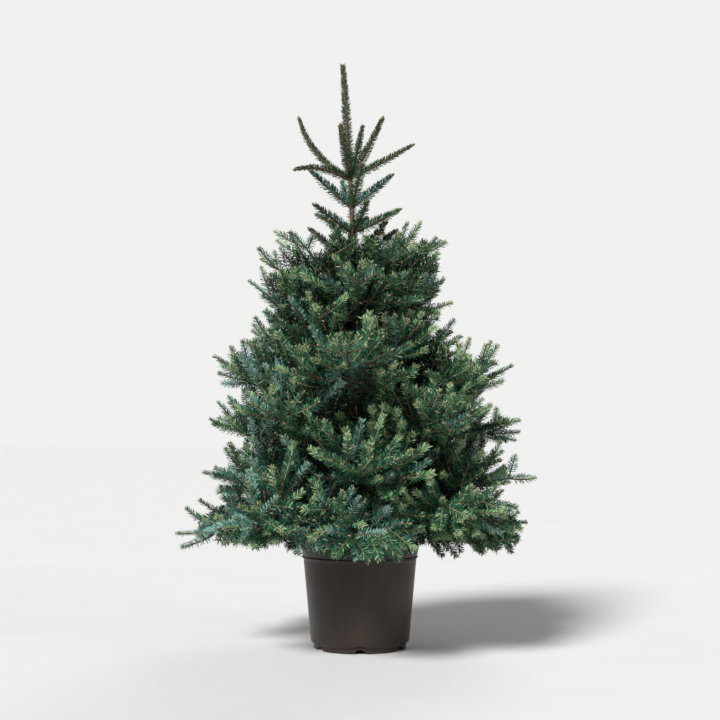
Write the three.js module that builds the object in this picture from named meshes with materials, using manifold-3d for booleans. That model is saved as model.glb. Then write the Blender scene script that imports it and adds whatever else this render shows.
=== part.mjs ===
// A young blue spruce standing in a ten-litre nursery container. Millimetres, +Z up, and the
// origin is the centre of the container's flat underside.
//
// The trunk rises whole from the compost to the leader's bud. Boughs leave it in whorls. On the
// lowest whorl each bough is a bare tapering limb that ends where its spray of needled twigs
// begins; higher up the sprays start at the trunk itself. Every spray is a stem with a dense core of
// needles round its inner part, and toothed side twigs that stand out of that core. It keeps to its
// own slice of its whorl and clear of all the others.
import * as THREE from "three";
import { mergeVertices } from "three/addons/utils/BufferGeometryUtils.js";
import Module from "manifold-3d";

const wasm = await Module();
wasm.setup();

// ---- Driving dimensions ----
const GAP = 0.3; // clearance between pieces that touch
const TREE_TOP = 1400; // tip of the leader's bud
const CROWN_DRIFT = -42; // how far the bud stands to the left of the container's axis
const DRIFT_POWER = 2.1; // the lean grows towards the top

const POT_HEIGHT = 240;
const POT_RIM_RADIUS = 141;
const POT_BAND_HEIGHT = 28; // the rolled band below the rim
const POT_WALL_TOP_RADIUS = 134; // just below the band
const POT_WALL_FOOT_RADIUS = 116;
const POT_FOOT_RADIUS = 109;
const POT_FOOT_HEIGHT = 17; // the drawn-in foot ring
const POT_WALL = 3;
const POT_FLOOR = 4;
const POT_SIDES = 36;
const DRAIN_COUNT = 6;
const DRAIN_WIDTH = 31;
const DRAIN_HEIGHT = 10;
const DRAIN_DEPTH = 16; // how far each drain arch cuts in from the foot's edge
const SOIL_TOP = 214;

const TRUNK_FOOT_RADIUS = 15;
const TRUNK_TIP_RADIUS = 2.2;
const FLARE = 7; // extra radius of the root flare at the compost
const FLARE_HEIGHT = 18;
const TRUNK_SIDES = 10;
const BUD_RADIUS = 4;
const BUD_LENGTH = 16;

const NEEDLE_REACH = 20; // from a twig's middle to its needle tips
const TOP_REACH = 13; // the same on the slim shoots above the full crown
const NEEDLE_STEP = 42; // spacing of the rings of needle tips along a twig
const TIP_SHARE = 0.62; // the last ring's reach as a share of the others'
const TWIG_SIDES = 3;
const BARE_TWIG = 2.8;
const STEM_RADIUS = 4.6; // the foot of a spray's main stem
const STEM_SHARE = 0.38; // at most this share of the trunk's radius there

// The whorls of the full crown, lowest first. height: where they leave the trunk; count: boughs in
// the whorl; reach: horizontal reach from the container's axis; drift: how much further the right
// side reaches than the middle; rise and lift: the angle at which a bough leaves, and how much
// steeper it gets, in degrees; slant: how much steeper than the middle the right side rises; turn:
// direction of the first bough; bare: length of the bough before its needles, or 0 where the
// needles start at the trunk.
const WHORLS = [
  { height: 288, count: 8, reach: 416, drift: -14, rise: -3, lift: 5, slant: 2, turn: 0, bare: 70 },
  { height: 352, count: 5, reach: 394, drift: 12, rise: 4, lift: 8, slant: 0, turn: 54, bare: 0 },
  { height: 428, count: 5, reach: 392, drift: 12, rise: 11, lift: 10, slant: 0, turn: 18, bare: 0 },
  { height: 508, count: 5, reach: 364, drift: 6, rise: 17, lift: 12, slant: -3, turn: 54, bare: 0 },
  { height: 604, count: 5, reach: 256, drift: -18, rise: 22, lift: 16, slant: 0, turn: 18, bare: 0 },
  { height: 702, count: 5, reach: 238, drift: -26, rise: 25, lift: 18, slant: 2, turn: 54, bare: 0 },
  { height: 800, count: 5, reach: 218, drift: -16, rise: 26, lift: 16, slant: 6, turn: 18, bare: 0 },
];

const STAGGER = 18; // every other bough of a whorl leaves this much higher
const WOBBLE = 10; // and each by up to this much more
const TURN_SPREAD = 10; // how far a bough's direction and rise may stray in all, in degrees
const RISE_SPREAD = 3;
const REACH_LEAST = 0.96; // the share of its whorl's reach that a bough has at least
const REACH_SPREAD = 0.06;
const SLICE = 1.3; // a spray's slice of its whorl, which may pass over and under its neighbours'
const SPRAY_STEPS = 12; // steps in the path of a bough with its spray's main stem
const BOUGH_RADII = [6.6, 5.6, 5.1, 4.7]; // a bare bough's taper, from the trunk outwards
const BOUGH_SIDES = 6;
const FIRST_DRAWS = 3; // draws left out, because the first ones of neighbouring seeds are alike

// The short single shoots of the open top, in collars of needles round the trunk.
const COLLARS = [
  { name: "collar_low", height: 905, count: 5, length: 142, rise: 36, turn: 24 },
  { name: "collar_mid", height: 985, count: 5, length: 122, rise: 22, turn: 0 },
  { name: "collar_high", height: 1046, count: 4, length: 128, rise: 36, turn: 14 },
];
const COLLAR_HEIGHT = 26;
const COLLAR_WALL = 4.5;
const COLLAR_BARE = 22; // from the trunk's axis to a shoot's first needles
const COLLAR_LIFT = 10;
const COLLAR_SIDES = 6;

// The top whorl's six shoots: direction, rise and length of each.
const TOP_HEIGHT = 1112;
const TOP_SHOOTS = [
  { turn: 2, rise: 25, lift: 8, length: 168 },
  { turn: 74, rise: 52, lift: 14, length: 190 },
  { turn: 166, rise: 22, lift: 72, length: 205 },
  { turn: 208, rise: 24, lift: -34, length: 146 },
  { turn: 256, rise: 42, lift: 22, length: 138 },
  { turn: 305, rise: 38, lift: 14, length: 178 },
];
const TOP_STAGGER = 6; // every other one leaves this much higher
const TOP_BARE = 40; // from the trunk's axis to a top shoot's first needles
const TOP_FOOT = 2.3; // radius of a top shoot's foot
const LEADER_START = 1152; // where the leader's own needles begin, above the top whorl

// The branching rule: side twigs leave in pairs at every node of a stem.
const FIRST_NODE = 0.46; // how far along a stem the first side twigs leave, as a share of it
const LAST_NODE = 50; // and how near its tip the last ones may
const NODE_SPACING = 84;
const SIDE_ANGLE = 50;
const LOWEST_TILT = -30; // how far side twigs turn out of their stem's plane, below and above it
const HIGHEST_TILT = 62;
const SIDE_RATIO = 0.56; // a side twig's length as a share of the stem beyond its node
const SIDE_EXTRA = 42; // and this much more
const SIDE_LONGEST = 178;
const SHORTEST = 62;
const SIDE_BARE = 16; // the bare foot of a side twig
const SIDE_LIFT = 16; // how much steeper a side twig gets, in degrees
const PLACE_SPREAD = 14; // how far a side twig's place and angle may stray in all
const SIZE_LEAST = 0.9; // and its length, as a share
const SIZE_SPREAD = 0.2;
const SHORTER = 0.82; // what a twig that finds no room is shortened by
const STEM_BARE = 0.5; // the share of a spray's main stem that bears no needles
const PATH_STEPS = 6;
const BARE_STEP = 60; // spacing of the rings along a bare stretch
const SAMPLE_STEP = 9; // spacing of the points at which a twig's room is tested

// The dense core of a spray.
const CORE_START = 10; // where a spray's dense core begins, from the bough's tip
const CORE_START_AT_TRUNK = 32; // the same from the trunk's axis
const CORE_END = 0.82; // and where it ends, as a share of the stem
const CORE_HALF_WIDTH = 78;
const CORE_FLAT = 0.66; // its height as a share of its width
const CORE_BLUNT = 0.12; // how bluntly it begins and ends
const CORE_NOTCH = 0.74; // every other ring's share of its width, which leaves jagged tufts between
const CORE_RINGS = 8;
const CORE_SIDES = 4;
const CORE_SHRINK = 0.92; // what a ring that finds no room is narrowed by

// ---- Small helpers ----
const UP = new THREE.Vector3(0, 0, 1);
const radians = THREE.MathUtils.degToRad;

// A seeded row of numbers from 0 to 1.
function seeded(seed) {
  let state = seed;
  return () => {
    state = (state * 16807) % 2147483647;
    return state / 2147483647;
  };
}

// The direction with this compass turn and rise, in degrees.
function heading(turn, rise) {
  const flat = Math.cos(radians(rise));
  return new THREE.Vector3(
    flat * Math.cos(radians(turn)),
    flat * Math.sin(radians(turn)),
    Math.sin(radians(rise)),
  );
}

// A closed mesh as a manifold-3d solid.
function solid(geometry) {
  const bare = geometry.clone();
  bare.deleteAttribute("normal");
  bare.deleteAttribute("uv");
  const merged = mergeVertices(bare, 1e-3);
  return new wasm.Manifold(
    new wasm.Mesh({
      numProp: 3,
      vertProperties: merged.attributes.position.array,
      triVerts: new Uint32Array(merged.index.array),
    }),
  );
}

// A manifold-3d solid as a geometry.
function geometryOf(made) {
  const mesh = made.getMesh();
  const stride = mesh.numProp;
  const points = new Float32Array(mesh.numVert * 3);
  for (let i = 0; i < mesh.numVert; i++) {
    points.set(mesh.vertProperties.subarray(i * stride, i * stride + 3), i * 3);
  }
  const geometry = new THREE.BufferGeometry();
  geometry.setAttribute("position", new THREE.BufferAttribute(points, 3));
  geometry.setIndex(new THREE.BufferAttribute(mesh.triVerts, 1));
  geometry.computeVertexNormals();
  return geometry;
}

// A loft of regular polygons along a path, with a flat cap at the start and, unless the last radius
// is 0, at the end. With toothed set, each ring is turned half a side further than the one before
// it, so that its corners stand out as the tips of needles over the flats of its neighbours. Below
// 1, flat presses every ring down to that share of its height.
function loft(path, radii, sides, toothed = false, flat = 1) {
  const last = path.length - 1;
  const side = new THREE.Vector3();
  const rings = path.map((middle, i) => {
    const tangent = new THREE.Vector3()
      .subVectors(path[Math.min(i + 1, last)], path[Math.max(i - 1, 0)])
      .normalize();
    if (i === 0) {
      side.crossVectors(UP, tangent);
      if (side.length() < 0.2) side.set(0, 1, 0);
    }
    side.addScaledVector(tangent, -side.dot(tangent)).normalize();
    const over = new THREE.Vector3().crossVectors(tangent, side);
    return Array.from({ length: radii[i] > 0 ? sides : 1 }, (_, k) => {
      const angle = (2 * Math.PI * (k + 0.25 - (toothed ? i / 2 : 0))) / sides;
      return middle
        .clone()
        .addScaledVector(side, radii[i] * Math.cos(angle))
        .addScaledVector(over, flat * radii[i] * Math.sin(angle));
    });
  });
  const faces = [];
  for (let i = 0; i < last; i++) {
    for (let k = 0; k < sides; k++) {
      const next = (k + 1) % sides;
      const [a, b] = [rings[i][k], rings[i][next]];
      const beyond = rings[i + 1];
      if (beyond.length === 1) {
        faces.push([a, b, beyond[0]]);
      } else {
        faces.push([a, b, beyond[next]], [a, beyond[next], beyond[k]]);
      }
    }
  }
  for (let k = 1; k < sides - 1; k++) {
    faces.push([rings[0][0], rings[0][k + 1], rings[0][k]]);
    if (rings[last].length > 1) faces.push([rings[last][0], rings[last][k], rings[last][k + 1]]);
  }
  const geometry = new THREE.BufferGeometry();
  const numbers = faces.flatMap((face) => face.flatMap((point) => point.toArray()));
  geometry.setAttribute("position", new THREE.Float32BufferAttribute(numbers, 3));
  return geometry;
}

// ---- Trunk ----
// The share of the way up the trunk, from the compost to the tip.
const upTrunk = (z) => Math.max(0, (z - SOIL_TOP) / (TREE_TOP - SOIL_TOP));

function trunkAxis(z) {
  return new THREE.Vector3(CROWN_DRIFT * upTrunk(z) ** DRIFT_POWER, 0, z);
}

function trunkRadius(z) {
  const taper = TRUNK_TIP_RADIUS + (TRUNK_FOOT_RADIUS - TRUNK_TIP_RADIUS) * (1 - upTrunk(z));
  return taper + FLARE * Math.exp(-(z - SOIL_TOP) / FLARE_HEIGHT);
}

// The trunk grown outwards by some clearance, which also runs a little past its foot.
function trunkSolid(clearance) {
  const foot = SOIL_TOP + GAP - clearance;
  const budFoot = TREE_TOP - BUD_LENGTH;
  const heights = [foot, foot + 12, foot + 30, foot + 60];
  for (let z = 360; z < budFoot; z += 150) heights.push(z);
  const radii = heights.map((z) => trunkRadius(Math.max(z, SOIL_TOP)) + clearance);
  heights.push(budFoot, budFoot + BUD_LENGTH * 0.4, TREE_TOP);
  radii.push(TRUNK_TIP_RADIUS + clearance, BUD_RADIUS + clearance, 0);
  return loft(heights.map(trunkAxis), radii, TRUNK_SIDES);
}

// ---- Container and compost ----
function potWallRadius(z) {
  const share = (z - POT_FOOT_HEIGHT) / (POT_HEIGHT - POT_BAND_HEIGHT - POT_FOOT_HEIGHT);
  return POT_WALL_FOOT_RADIUS + (POT_WALL_TOP_RADIUS - POT_WALL_FOOT_RADIUS) * share;
}

function potSolid() {
  const bandFoot = POT_HEIGHT - POT_BAND_HEIGHT;
  const innerTop = POT_RIM_RADIUS - 2 * POT_WALL;
  const profile = [
    [0, 0],
    [POT_FOOT_RADIUS, 0],
    [POT_FOOT_RADIUS - 1, POT_FOOT_HEIGHT * 0.55],
    [POT_WALL_FOOT_RADIUS, POT_FOOT_HEIGHT],
    [potWallRadius(bandFoot), bandFoot],
    [POT_WALL_TOP_RADIUS + 2.5, bandFoot + 1],
    [POT_RIM_RADIUS - 0.5, POT_HEIGHT - 3],
    [POT_RIM_RADIUS - 2, POT_HEIGHT],
    [innerTop, POT_HEIGHT],
    [potWallRadius(bandFoot) - POT_WALL, bandFoot],
    [POT_WALL_FOOT_RADIUS - POT_WALL, POT_FOOT_HEIGHT + 2],
    [POT_FOOT_RADIUS - 1 - POT_WALL, POT_FOOT_HEIGHT * 0.55 + 2],
    [POT_FOOT_RADIUS - POT_WALL, POT_FLOOR],
    [0, POT_FLOOR],
  ].map(([radius, z]) => new THREE.Vector2(radius, z));
  let pot = solid(new THREE.LatheGeometry(profile, POT_SIDES).rotateX(Math.PI / 2));
  for (let i = 0; i < DRAIN_COUNT; i++) {
    pot = pot.subtract(drainArch(i * (360 / DRAIN_COUNT) - 90));
  }
  return pot;
}

// An arched slot through the foot's edge, on the given bearing.
function drainArch(turn) {
  const arch = new THREE.Shape();
  const half = DRAIN_WIDTH / 2;
  arch.moveTo(-half, -1);
  arch.lineTo(half, -1);
  arch.quadraticCurveTo(half * 0.6, DRAIN_HEIGHT, 0, DRAIN_HEIGHT);
  arch.quadraticCurveTo(-half * 0.6, DRAIN_HEIGHT, -half, -1);
  const slot = new THREE.ExtrudeGeometry(arch, {
    depth: DRAIN_DEPTH + 10,
    bevelEnabled: false,
    curveSegments: 3,
  });
  slot.rotateX(Math.PI / 2).rotateZ(Math.PI / 2);
  slot.translate(POT_FOOT_RADIUS - DRAIN_DEPTH, 0, 0);
  slot.rotateZ(radians(turn));
  return solid(slot);
}

function soilGeometry() {
  const clear = POT_WALL + 2 * GAP;
  const chamfer = DRAIN_HEIGHT + POT_FLOOR;
  const profile = [
    [0, POT_FLOOR + GAP],
    [POT_FOOT_RADIUS - DRAIN_DEPTH - GAP, POT_FLOOR + GAP],
    [POT_WALL_FOOT_RADIUS - clear - 8, chamfer + 4],
    [potWallRadius(60) - clear, 60],
    [potWallRadius(SOIL_TOP - 4) - clear - 1, SOIL_TOP - 4],
    [potWallRadius(SOIL_TOP - 4) - clear - 6, SOIL_TOP],
    [0, SOIL_TOP],
  ].map(([radius, z]) => new THREE.Vector2(radius, z));
  return new THREE.LatheGeometry(profile, POT_SIDES / 2).rotateX(Math.PI / 2);
}

// ---- Growth ----
// The path of a stem: steps of even length that turn upwards by lift degrees in all.
function grow(start, direction, length, lift, steps) {
  const path = [start.clone()];
  const step = length / steps;
  for (let i = 0; i < steps; i++) {
    const bend = Math.tan(radians(lift) * ((i + 0.5) / steps));
    const way = direction.clone().addScaledVector(UP, bend).normalize();
    path.push(path[i].clone().addScaledVector(way, step));
  }
  return path;
}

// The point and direction at a share of the way along a path.
function along(path, share) {
  const place = Math.min(share, 0.999) * (path.length - 1);
  const i = Math.floor(place);
  const way = new THREE.Vector3().subVectors(path[i + 1], path[i]);
  return { point: path[i].clone().addScaledVector(way, place - i), way: way.normalize() };
}

// Whether any ball of one room comes too near a ball of another.
function roomsMeet(some, others) {
  return some.some((a) =>
    others.some((b) => a.point.distanceTo(b.point) < a.radius + b.radius + GAP),
  );
}

// Whether a ball is clear of the container, its compost and the trunk.
function clearOfPotAndTrunk({ point, radius }) {
  const flat = Math.hypot(point.x, point.y);
  const overPot = flat < POT_RIM_RADIUS + radius + GAP && point.z < POT_HEIGHT + radius + GAP;
  const axis = trunkAxis(point.z);
  const fromTrunk = Math.hypot(point.x - axis.x, point.y - axis.y);
  return !overPot && fromTrunk > trunkRadius(point.z) + radius + GAP;
}

// Whether a ball lies inside a spray's slice of its whorl.
function insideSlice({ point, radius }, spray) {
  const axis = trunkAxis(spray.height);
  const [x, y] = [point.x - axis.x, point.y - axis.y];
  const turned = Math.abs(Math.atan2(y, x) - radians(spray.turn)) % (2 * Math.PI);
  const off = Math.min(turned, 2 * Math.PI - turned);
  return off < spray.half && Math.hypot(x, y) * Math.sin(spray.half - off) > radius + GAP;
}

// One spray for each bough of a whorl, with its main stem, and the bare bough where it has one.
function whorlSprays(whorl, whorlIndex) {
  return Array.from({ length: whorl.count }, (_, i) => {
    const draw = seeded(1009 * (whorlIndex + 1) + 97 * (i + 1));
    for (let k = 0; k < FIRST_DRAWS; k++) draw();
    const turn = whorl.turn + (360 / whorl.count) * i + TURN_SPREAD * (draw() - 0.5);
    const toTheRight = Math.cos(radians(turn));
    const share = REACH_LEAST + REACH_SPREAD * draw();
    const reach = (whorl.reach + whorl.drift * toTheRight) * share;
    const rise = whorl.rise + whorl.slant * toTheRight + RISE_SPREAD * (draw() - 0.5);
    const direction = heading(turn, rise);
    const length = reach / Math.cos(radians(rise + whorl.lift / 2));
    const height = whorl.height + (i % 2) * STAGGER + WOBBLE * draw();
    const whole = grow(trunkAxis(height), direction, length, whorl.lift, SPRAY_STEPS);
    const bareShare = whorl.bare / length;
    const spray = {
      name: `tier${whorlIndex + 1}_needles${i + 1}`,
      boughName: `tier${whorlIndex + 1}_bough${i + 1}`,
      height,
      half: (SLICE * Math.PI) / whorl.count,
      turn,
      draw,
      whole,
      length,
      bareShare,
    };
    const from = bareShare ? bareShare + GAP / length : 0;
    const stemLength = length * (1 - from);
    spray.route = (share) => along(whole, from + (1 - from) * share).point;
    const footRadius = Math.min(STEM_RADIUS, STEM_SHARE * trunkRadius(height));
    spray.twigs = [twig(spray.route, stemLength, stemLength * STEM_BARE, footRadius)];
    return spray;
  });
}

// The dense core of a spray, round the inner part of its stem: a flattened loft that swells to its
// full width, and is narrowed wherever it would leave its slice or meet something else.
function sprayCore(spray, others) {
  const axis = trunkAxis(spray.height);
  const start = (spray.bareShare ? CORE_START : CORE_START_AT_TRUNK) / spray.twigs[0].length;
  const path = [];
  const radii = [];
  const room = [];
  for (let i = 0; i <= CORE_RINGS; i++) {
    const place = i / CORE_RINGS;
    const point = spray.route(start + (CORE_END - start) * place);
    const across = new THREE.Vector3(axis.y - point.y, point.x - axis.x, 0).normalize();
    const swell = Math.sin(Math.PI * (CORE_BLUNT + (1 - 2 * CORE_BLUNT) * place));
    let radius = CORE_HALF_WIDTH * swell * (i % 2 ? 1 : CORE_NOTCH);
    let balls = ballsAcross(point, across, radius);
    while (radius > 2 * STEM_RADIUS && !fits(balls, spray, others)) {
      radius *= CORE_SHRINK;
      balls = ballsAcross(point, across, radius);
    }
    path.push(point);
    radii.push(radius);
    room.push(...balls);
  }
  return { path, radii, room };
}

// A row of balls that stands for one flattened ring of a core.
function ballsAcross(point, across, radius) {
  const ball = CORE_FLAT * radius;
  return [-1, -0.5, 0, 0.5, 1].map((side) => ({
    point: point.clone().addScaledVector(across, side * (radius - ball)),
    radius: ball,
  }));
}

// A needled twig on a route, which gives the point at each share of its length. It is bare up to
// bareLength, then has a ring of needle tips at every step, and ends in a point.
function twig(route, length, bareLength, footRadius, reach = NEEDLE_REACH) {
  const bareSteps = Math.max(1, Math.round(bareLength / BARE_STEP));
  const needledSteps = Math.max(2, Math.round((length - bareLength) / NEEDLE_STEP));
  const shares = [];
  const radii = [];
  for (let i = 0; i < bareSteps; i++) {
    shares.push((bareLength * i) / (bareSteps * length));
    radii.push(footRadius + (BARE_TWIG - footRadius) * (i / bareSteps));
  }
  for (let i = 0; i <= needledSteps; i++) {
    shares.push((bareLength + ((length - bareLength) * i) / needledSteps) / length);
    radii.push(reach);
  }
  radii[bareSteps] = (BARE_TWIG + reach) / 2;
  radii[radii.length - 2] = reach * TIP_SHARE;
  radii[radii.length - 1] = 0;
  const count = Math.max(2, Math.ceil(length / SAMPLE_STEP));
  const room = Array.from({ length: count + 1 }, (_, i) => {
    const thin = i / count < (bareLength - NEEDLE_STEP / 2) / length;
    return { point: route(i / count), radius: (thin ? footRadius : reach) + 1 };
  });
  return { path: shares.map(route), length, radii, room };
}

// The pairs of side twigs along a stem that find room, added to the spray.
function addSideTwigs(spray, stem, others, onlyOneSide) {
  const added = [];
  let place = FIRST_NODE * stem.length;
  for (let n = 1; place < stem.length - LAST_NODE; n++, place += NODE_SPACING) {
    for (const hand of [-1, 1]) {
      const share = (place + PLACE_SPREAD * (spray.draw() - 0.5)) / stem.length;
      const spread = SIDE_ANGLE + PLACE_SPREAD * (spray.draw() - 0.5);
      const tilt = LOWEST_TILT + (HIGHEST_TILT - LOWEST_TILT) * spray.draw();
      const size = SIZE_LEAST + SIZE_SPREAD * spray.draw();
      if (onlyOneSide && (n % 2 ? 1 : -1) !== hand) continue;
      const wanted = Math.min(SIDE_LONGEST, SIDE_RATIO * stem.length * (1 - share) + SIDE_EXTRA) * size;
      const side = sideTwig(spray, stem, share, spread * hand, tilt, wanted, others);
      if (side) added.push(side);
    }
  }
  spray.twigs.push(...added);
  return added;
}

// A side twig, tried at shorter and shorter lengths until it keeps to its room.
function sideTwig(spray, stem, share, spread, tilt, wanted, others) {
  const { point, way } = along(stem.path, share);
  const across = new THREE.Vector3().crossVectors(UP, way).normalize();
  const over = new THREE.Vector3().crossVectors(way, across);
  const outward = way
    .clone()
    .multiplyScalar(Math.cos(radians(spread)))
    .addScaledVector(across, Math.sin(radians(spread)) * Math.cos(radians(tilt)))
    .addScaledVector(over, Math.abs(Math.sin(radians(spread))) * Math.sin(radians(tilt)));
  for (let length = wanted; length >= SHORTEST; length *= SHORTER) {
    const path = grow(point, outward, length, SIDE_LIFT, PATH_STEPS);
    const side = twig((share) => along(path, share).point, length, SIDE_BARE, BARE_TWIG);
    const needled = side.room.filter((ball) => ball.radius > NEEDLE_REACH);
    if (fits(needled, spray, others)) return side;
  }
  return null;
}

// Whether a room lies in its spray's slice, and clear of the container, the trunk and the others.
function fits(room, spray, others) {
  return (
    room.every((ball) => clearOfPotAndTrunk(ball) && insideSlice(ball, spray)) &&
    !others.some((other) => roomsMeet(room, other))
  );
}

// The rooms of everything that a spray has to keep clear of.
function othersThan(spray, sprays) {
  return sprays
    .filter((other) => other !== spray)
    .flatMap((other) => [
      ...other.twigs.map(({ room }) => room),
      ...(other.core ? [other.core.room] : []),
      ...(other.limbRoom ? [other.limbRoom] : []),
    ])
    .concat(spray.limbRoom ? [spray.limbRoom] : []);
}

// Even points along a spray's bare bough, from the trunk's axis.
function boughPath(spray, steps) {
  const shares = Array.from({ length: steps + 1 }, (_, k) => (k / steps) * spray.bareShare);
  return shares.map((share) => along(spray.whole, share).point);
}

// ---- Assembly ----
const tree = new THREE.Group();
const finish = {
  pot: { color: 0x2c2523, roughness: 0.55 },
  soil: { color: 0x2a1d14, roughness: 1 },
  bark: { color: 0x6b5138, roughness: 0.9 },
  needles: { color: 0x2f5a4c, roughness: 0.75 },
};

function addMesh(name, geometry, look) {
  const material = new THREE.MeshStandardMaterial({ ...finish[look], metalness: 0 });
  const mesh = new THREE.Mesh(geometry, material);
  mesh.name = name;
  tree.add(mesh);
}

addMesh("pot", geometryOf(potSolid()), "pot");
addMesh("soil", soilGeometry(), "soil");
addMesh("trunk", trunkSolid(0), "bark");

const sprays = WHORLS.flatMap(whorlSprays);
for (const spray of sprays.filter((s) => s.bareShare)) {
  spray.limbRoom = boughPath(spray, 10).map((point) => ({ point, radius: BOUGH_RADII[0] }));
}

const collars = COLLARS.map((collar) => {
  const axis = trunkAxis(collar.height);
  const twigs = Array.from({ length: collar.count }, (_, i) => {
    const turn = collar.turn + (360 / collar.count) * i;
    const path = grow(axis, heading(turn, collar.rise), collar.length, COLLAR_LIFT, PATH_STEPS);
    return twig((share) => along(path, share).point, collar.length, COLLAR_BARE, BARE_TWIG, TOP_REACH);
  });
  return { ...collar, twigs };
});

// The cores first, then side twigs on every main stem, then on the side twigs, so that all sprays
// share the room.
const everything = [...sprays, ...collars];
for (const spray of sprays) spray.core = sprayCore(spray, othersThan(spray, everything));
const firstTwigs = new Map();
for (const spray of sprays) {
  firstTwigs.set(spray, addSideTwigs(spray, spray.twigs[0], othersThan(spray, everything), false));
}
for (const spray of sprays) {
  for (const stem of firstTwigs.get(spray)) {
    addSideTwigs(spray, stem, othersThan(spray, everything), true);
  }
}

const trunkRoom = solid(trunkSolid(GAP));
const twigSolid = ({ path, radii }) => solid(loft(path, radii, TWIG_SIDES, true));

// The outermost closed surface of a fused solid: sealed hollows are filled and loose scraps dropped.
function largest(made) {
  return made.decompose().reduce((best, part) => (part.volume() > best.volume() ? part : best));
}

function fused({ twigs, core }) {
  const parts = twigs.map(twigSolid);
  if (core) parts.push(solid(loft(core.path, core.radii, CORE_SIDES, true, CORE_FLAT)));
  return largest(parts.reduce((whole, part) => whole.add(part)));
}

for (const spray of sprays) {
  if (spray.bareShare) {
    const bough = solid(loft(boughPath(spray, BOUGH_RADII.length - 1), BOUGH_RADII, BOUGH_SIDES));
    addMesh(spray.boughName, geometryOf(largest(bough.subtract(trunkRoom))), "bark");
    addMesh(spray.name, geometryOf(fused(spray)), "needles");
  } else {
    addMesh(spray.name, geometryOf(largest(fused(spray).subtract(trunkRoom))), "needles");
  }
}

for (const collar of collars) {
  const ends = [collar.height - COLLAR_HEIGHT / 2, collar.height + COLLAR_HEIGHT / 2];
  const radius = trunkRadius(collar.height) + COLLAR_WALL;
  const ring = solid(loft(ends.map(trunkAxis), [radius, radius], COLLAR_SIDES));
  addMesh(collar.name, geometryOf(largest(ring.add(fused(collar)).subtract(trunkRoom))), "needles");
}

TOP_SHOOTS.forEach(({ turn, rise, lift, length }, i) => {
  const height = TOP_HEIGHT + ((i + 1) % 2) * TOP_STAGGER;
  const path = grow(trunkAxis(height), heading(turn, rise), length, lift, 2 * PATH_STEPS);
  const route = (share) => along(path, share).point;
  const shoot = twigSolid(twig(route, length, TOP_BARE, TOP_FOOT, TOP_REACH));
  addMesh(`top_shoot${i + 1}`, geometryOf(largest(shoot.subtract(trunkRoom))), "needles");
});

const leaderEnd = TREE_TOP - BUD_LENGTH / 2;
const leaderRings = Math.round((leaderEnd - LEADER_START) / NEEDLE_STEP);
const leaderHeights = Array.from(
  { length: leaderRings + 1 },
  (_, i) => LEADER_START + ((leaderEnd - LEADER_START) * i) / leaderRings,
);
const leaderRadii = leaderHeights.map(() => TOP_REACH);
leaderRadii[leaderRings] *= TIP_SHARE;
const leader = solid(loft(leaderHeights.map(trunkAxis), leaderRadii, TWIG_SIDES, true));
addMesh("leader_needles", geometryOf(largest(leader.subtract(trunkRoom))), "needles");

export default tree;
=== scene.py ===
"""A young blue spruce in a nursery container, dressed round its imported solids. Metres, +Z up."""

import math
from types import SimpleNamespace

import bpy
import numpy as np
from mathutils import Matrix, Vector


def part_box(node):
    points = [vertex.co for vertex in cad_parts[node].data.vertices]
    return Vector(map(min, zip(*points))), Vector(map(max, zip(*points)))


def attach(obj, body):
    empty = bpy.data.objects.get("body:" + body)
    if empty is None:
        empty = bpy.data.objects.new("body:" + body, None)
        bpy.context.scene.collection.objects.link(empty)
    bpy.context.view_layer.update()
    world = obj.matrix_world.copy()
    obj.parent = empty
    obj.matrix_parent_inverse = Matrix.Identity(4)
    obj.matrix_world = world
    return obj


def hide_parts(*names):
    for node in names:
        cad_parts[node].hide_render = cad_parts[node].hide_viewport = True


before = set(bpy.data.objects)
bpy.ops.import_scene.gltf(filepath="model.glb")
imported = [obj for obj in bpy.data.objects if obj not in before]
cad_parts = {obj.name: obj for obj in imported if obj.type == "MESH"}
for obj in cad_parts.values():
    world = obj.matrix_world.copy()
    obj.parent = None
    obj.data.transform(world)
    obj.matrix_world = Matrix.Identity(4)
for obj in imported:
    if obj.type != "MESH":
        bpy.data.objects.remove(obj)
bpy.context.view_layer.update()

# ---- Camera ----
# A long lens three metres off at knee height, tilted a little up, so that tree and pot fill the frame.
CAMERA_PLACE = Vector((0.0, -3.0, 0.48))
CAMERA_AIM = Vector((0.0, 0.0, 0.678))
FIELD_OF_VIEW = math.radians(32)

camera_data = bpy.data.cameras.new("camera")
camera_data.angle = FIELD_OF_VIEW
camera = bpy.data.objects.new("camera", camera_data)
camera.location = CAMERA_PLACE
camera.rotation_euler = (CAMERA_AIM - CAMERA_PLACE).to_track_quat("-Z", "Y").to_euler()
bpy.context.scene.collection.objects.link(camera)
bpy.context.scene.camera = camera


# ---- Studio ----
# A plain pale floor that meets an even pale backdrop, with three large soft lamps far off: the key high
# on the left, a weaker one on the right, and one from behind that catches the edges of the shoots.
def new_piece(name, points, faces, material, smooth=True):
    """A mesh object at the origin, from points and from arrays of faces with one row of corners each."""
    points = np.asarray(points, np.float32).reshape(-1, 3)
    corners = np.concatenate([block.ravel() for block in faces]).astype(np.int32)
    sizes = np.concatenate([np.full(len(block), block.shape[1]) for block in faces])
    mesh = bpy.data.meshes.new(name)
    mesh.vertices.add(len(points))
    mesh.vertices.foreach_set("co", points.ravel())
    mesh.loops.add(len(corners))
    mesh.loops.foreach_set("vertex_index", corners)
    mesh.polygons.add(len(sizes))
    mesh.polygons.foreach_set("loop_start", (np.cumsum(sizes) - sizes).astype(np.int32))
    mesh.polygons.foreach_set("use_smooth", np.full(len(sizes), smooth))
    mesh.update(calc_edges=True)
    mesh.materials.append(material)
    piece = bpy.data.objects.new(name, mesh)
    bpy.context.scene.collection.objects.link(piece)
    return piece


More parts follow.
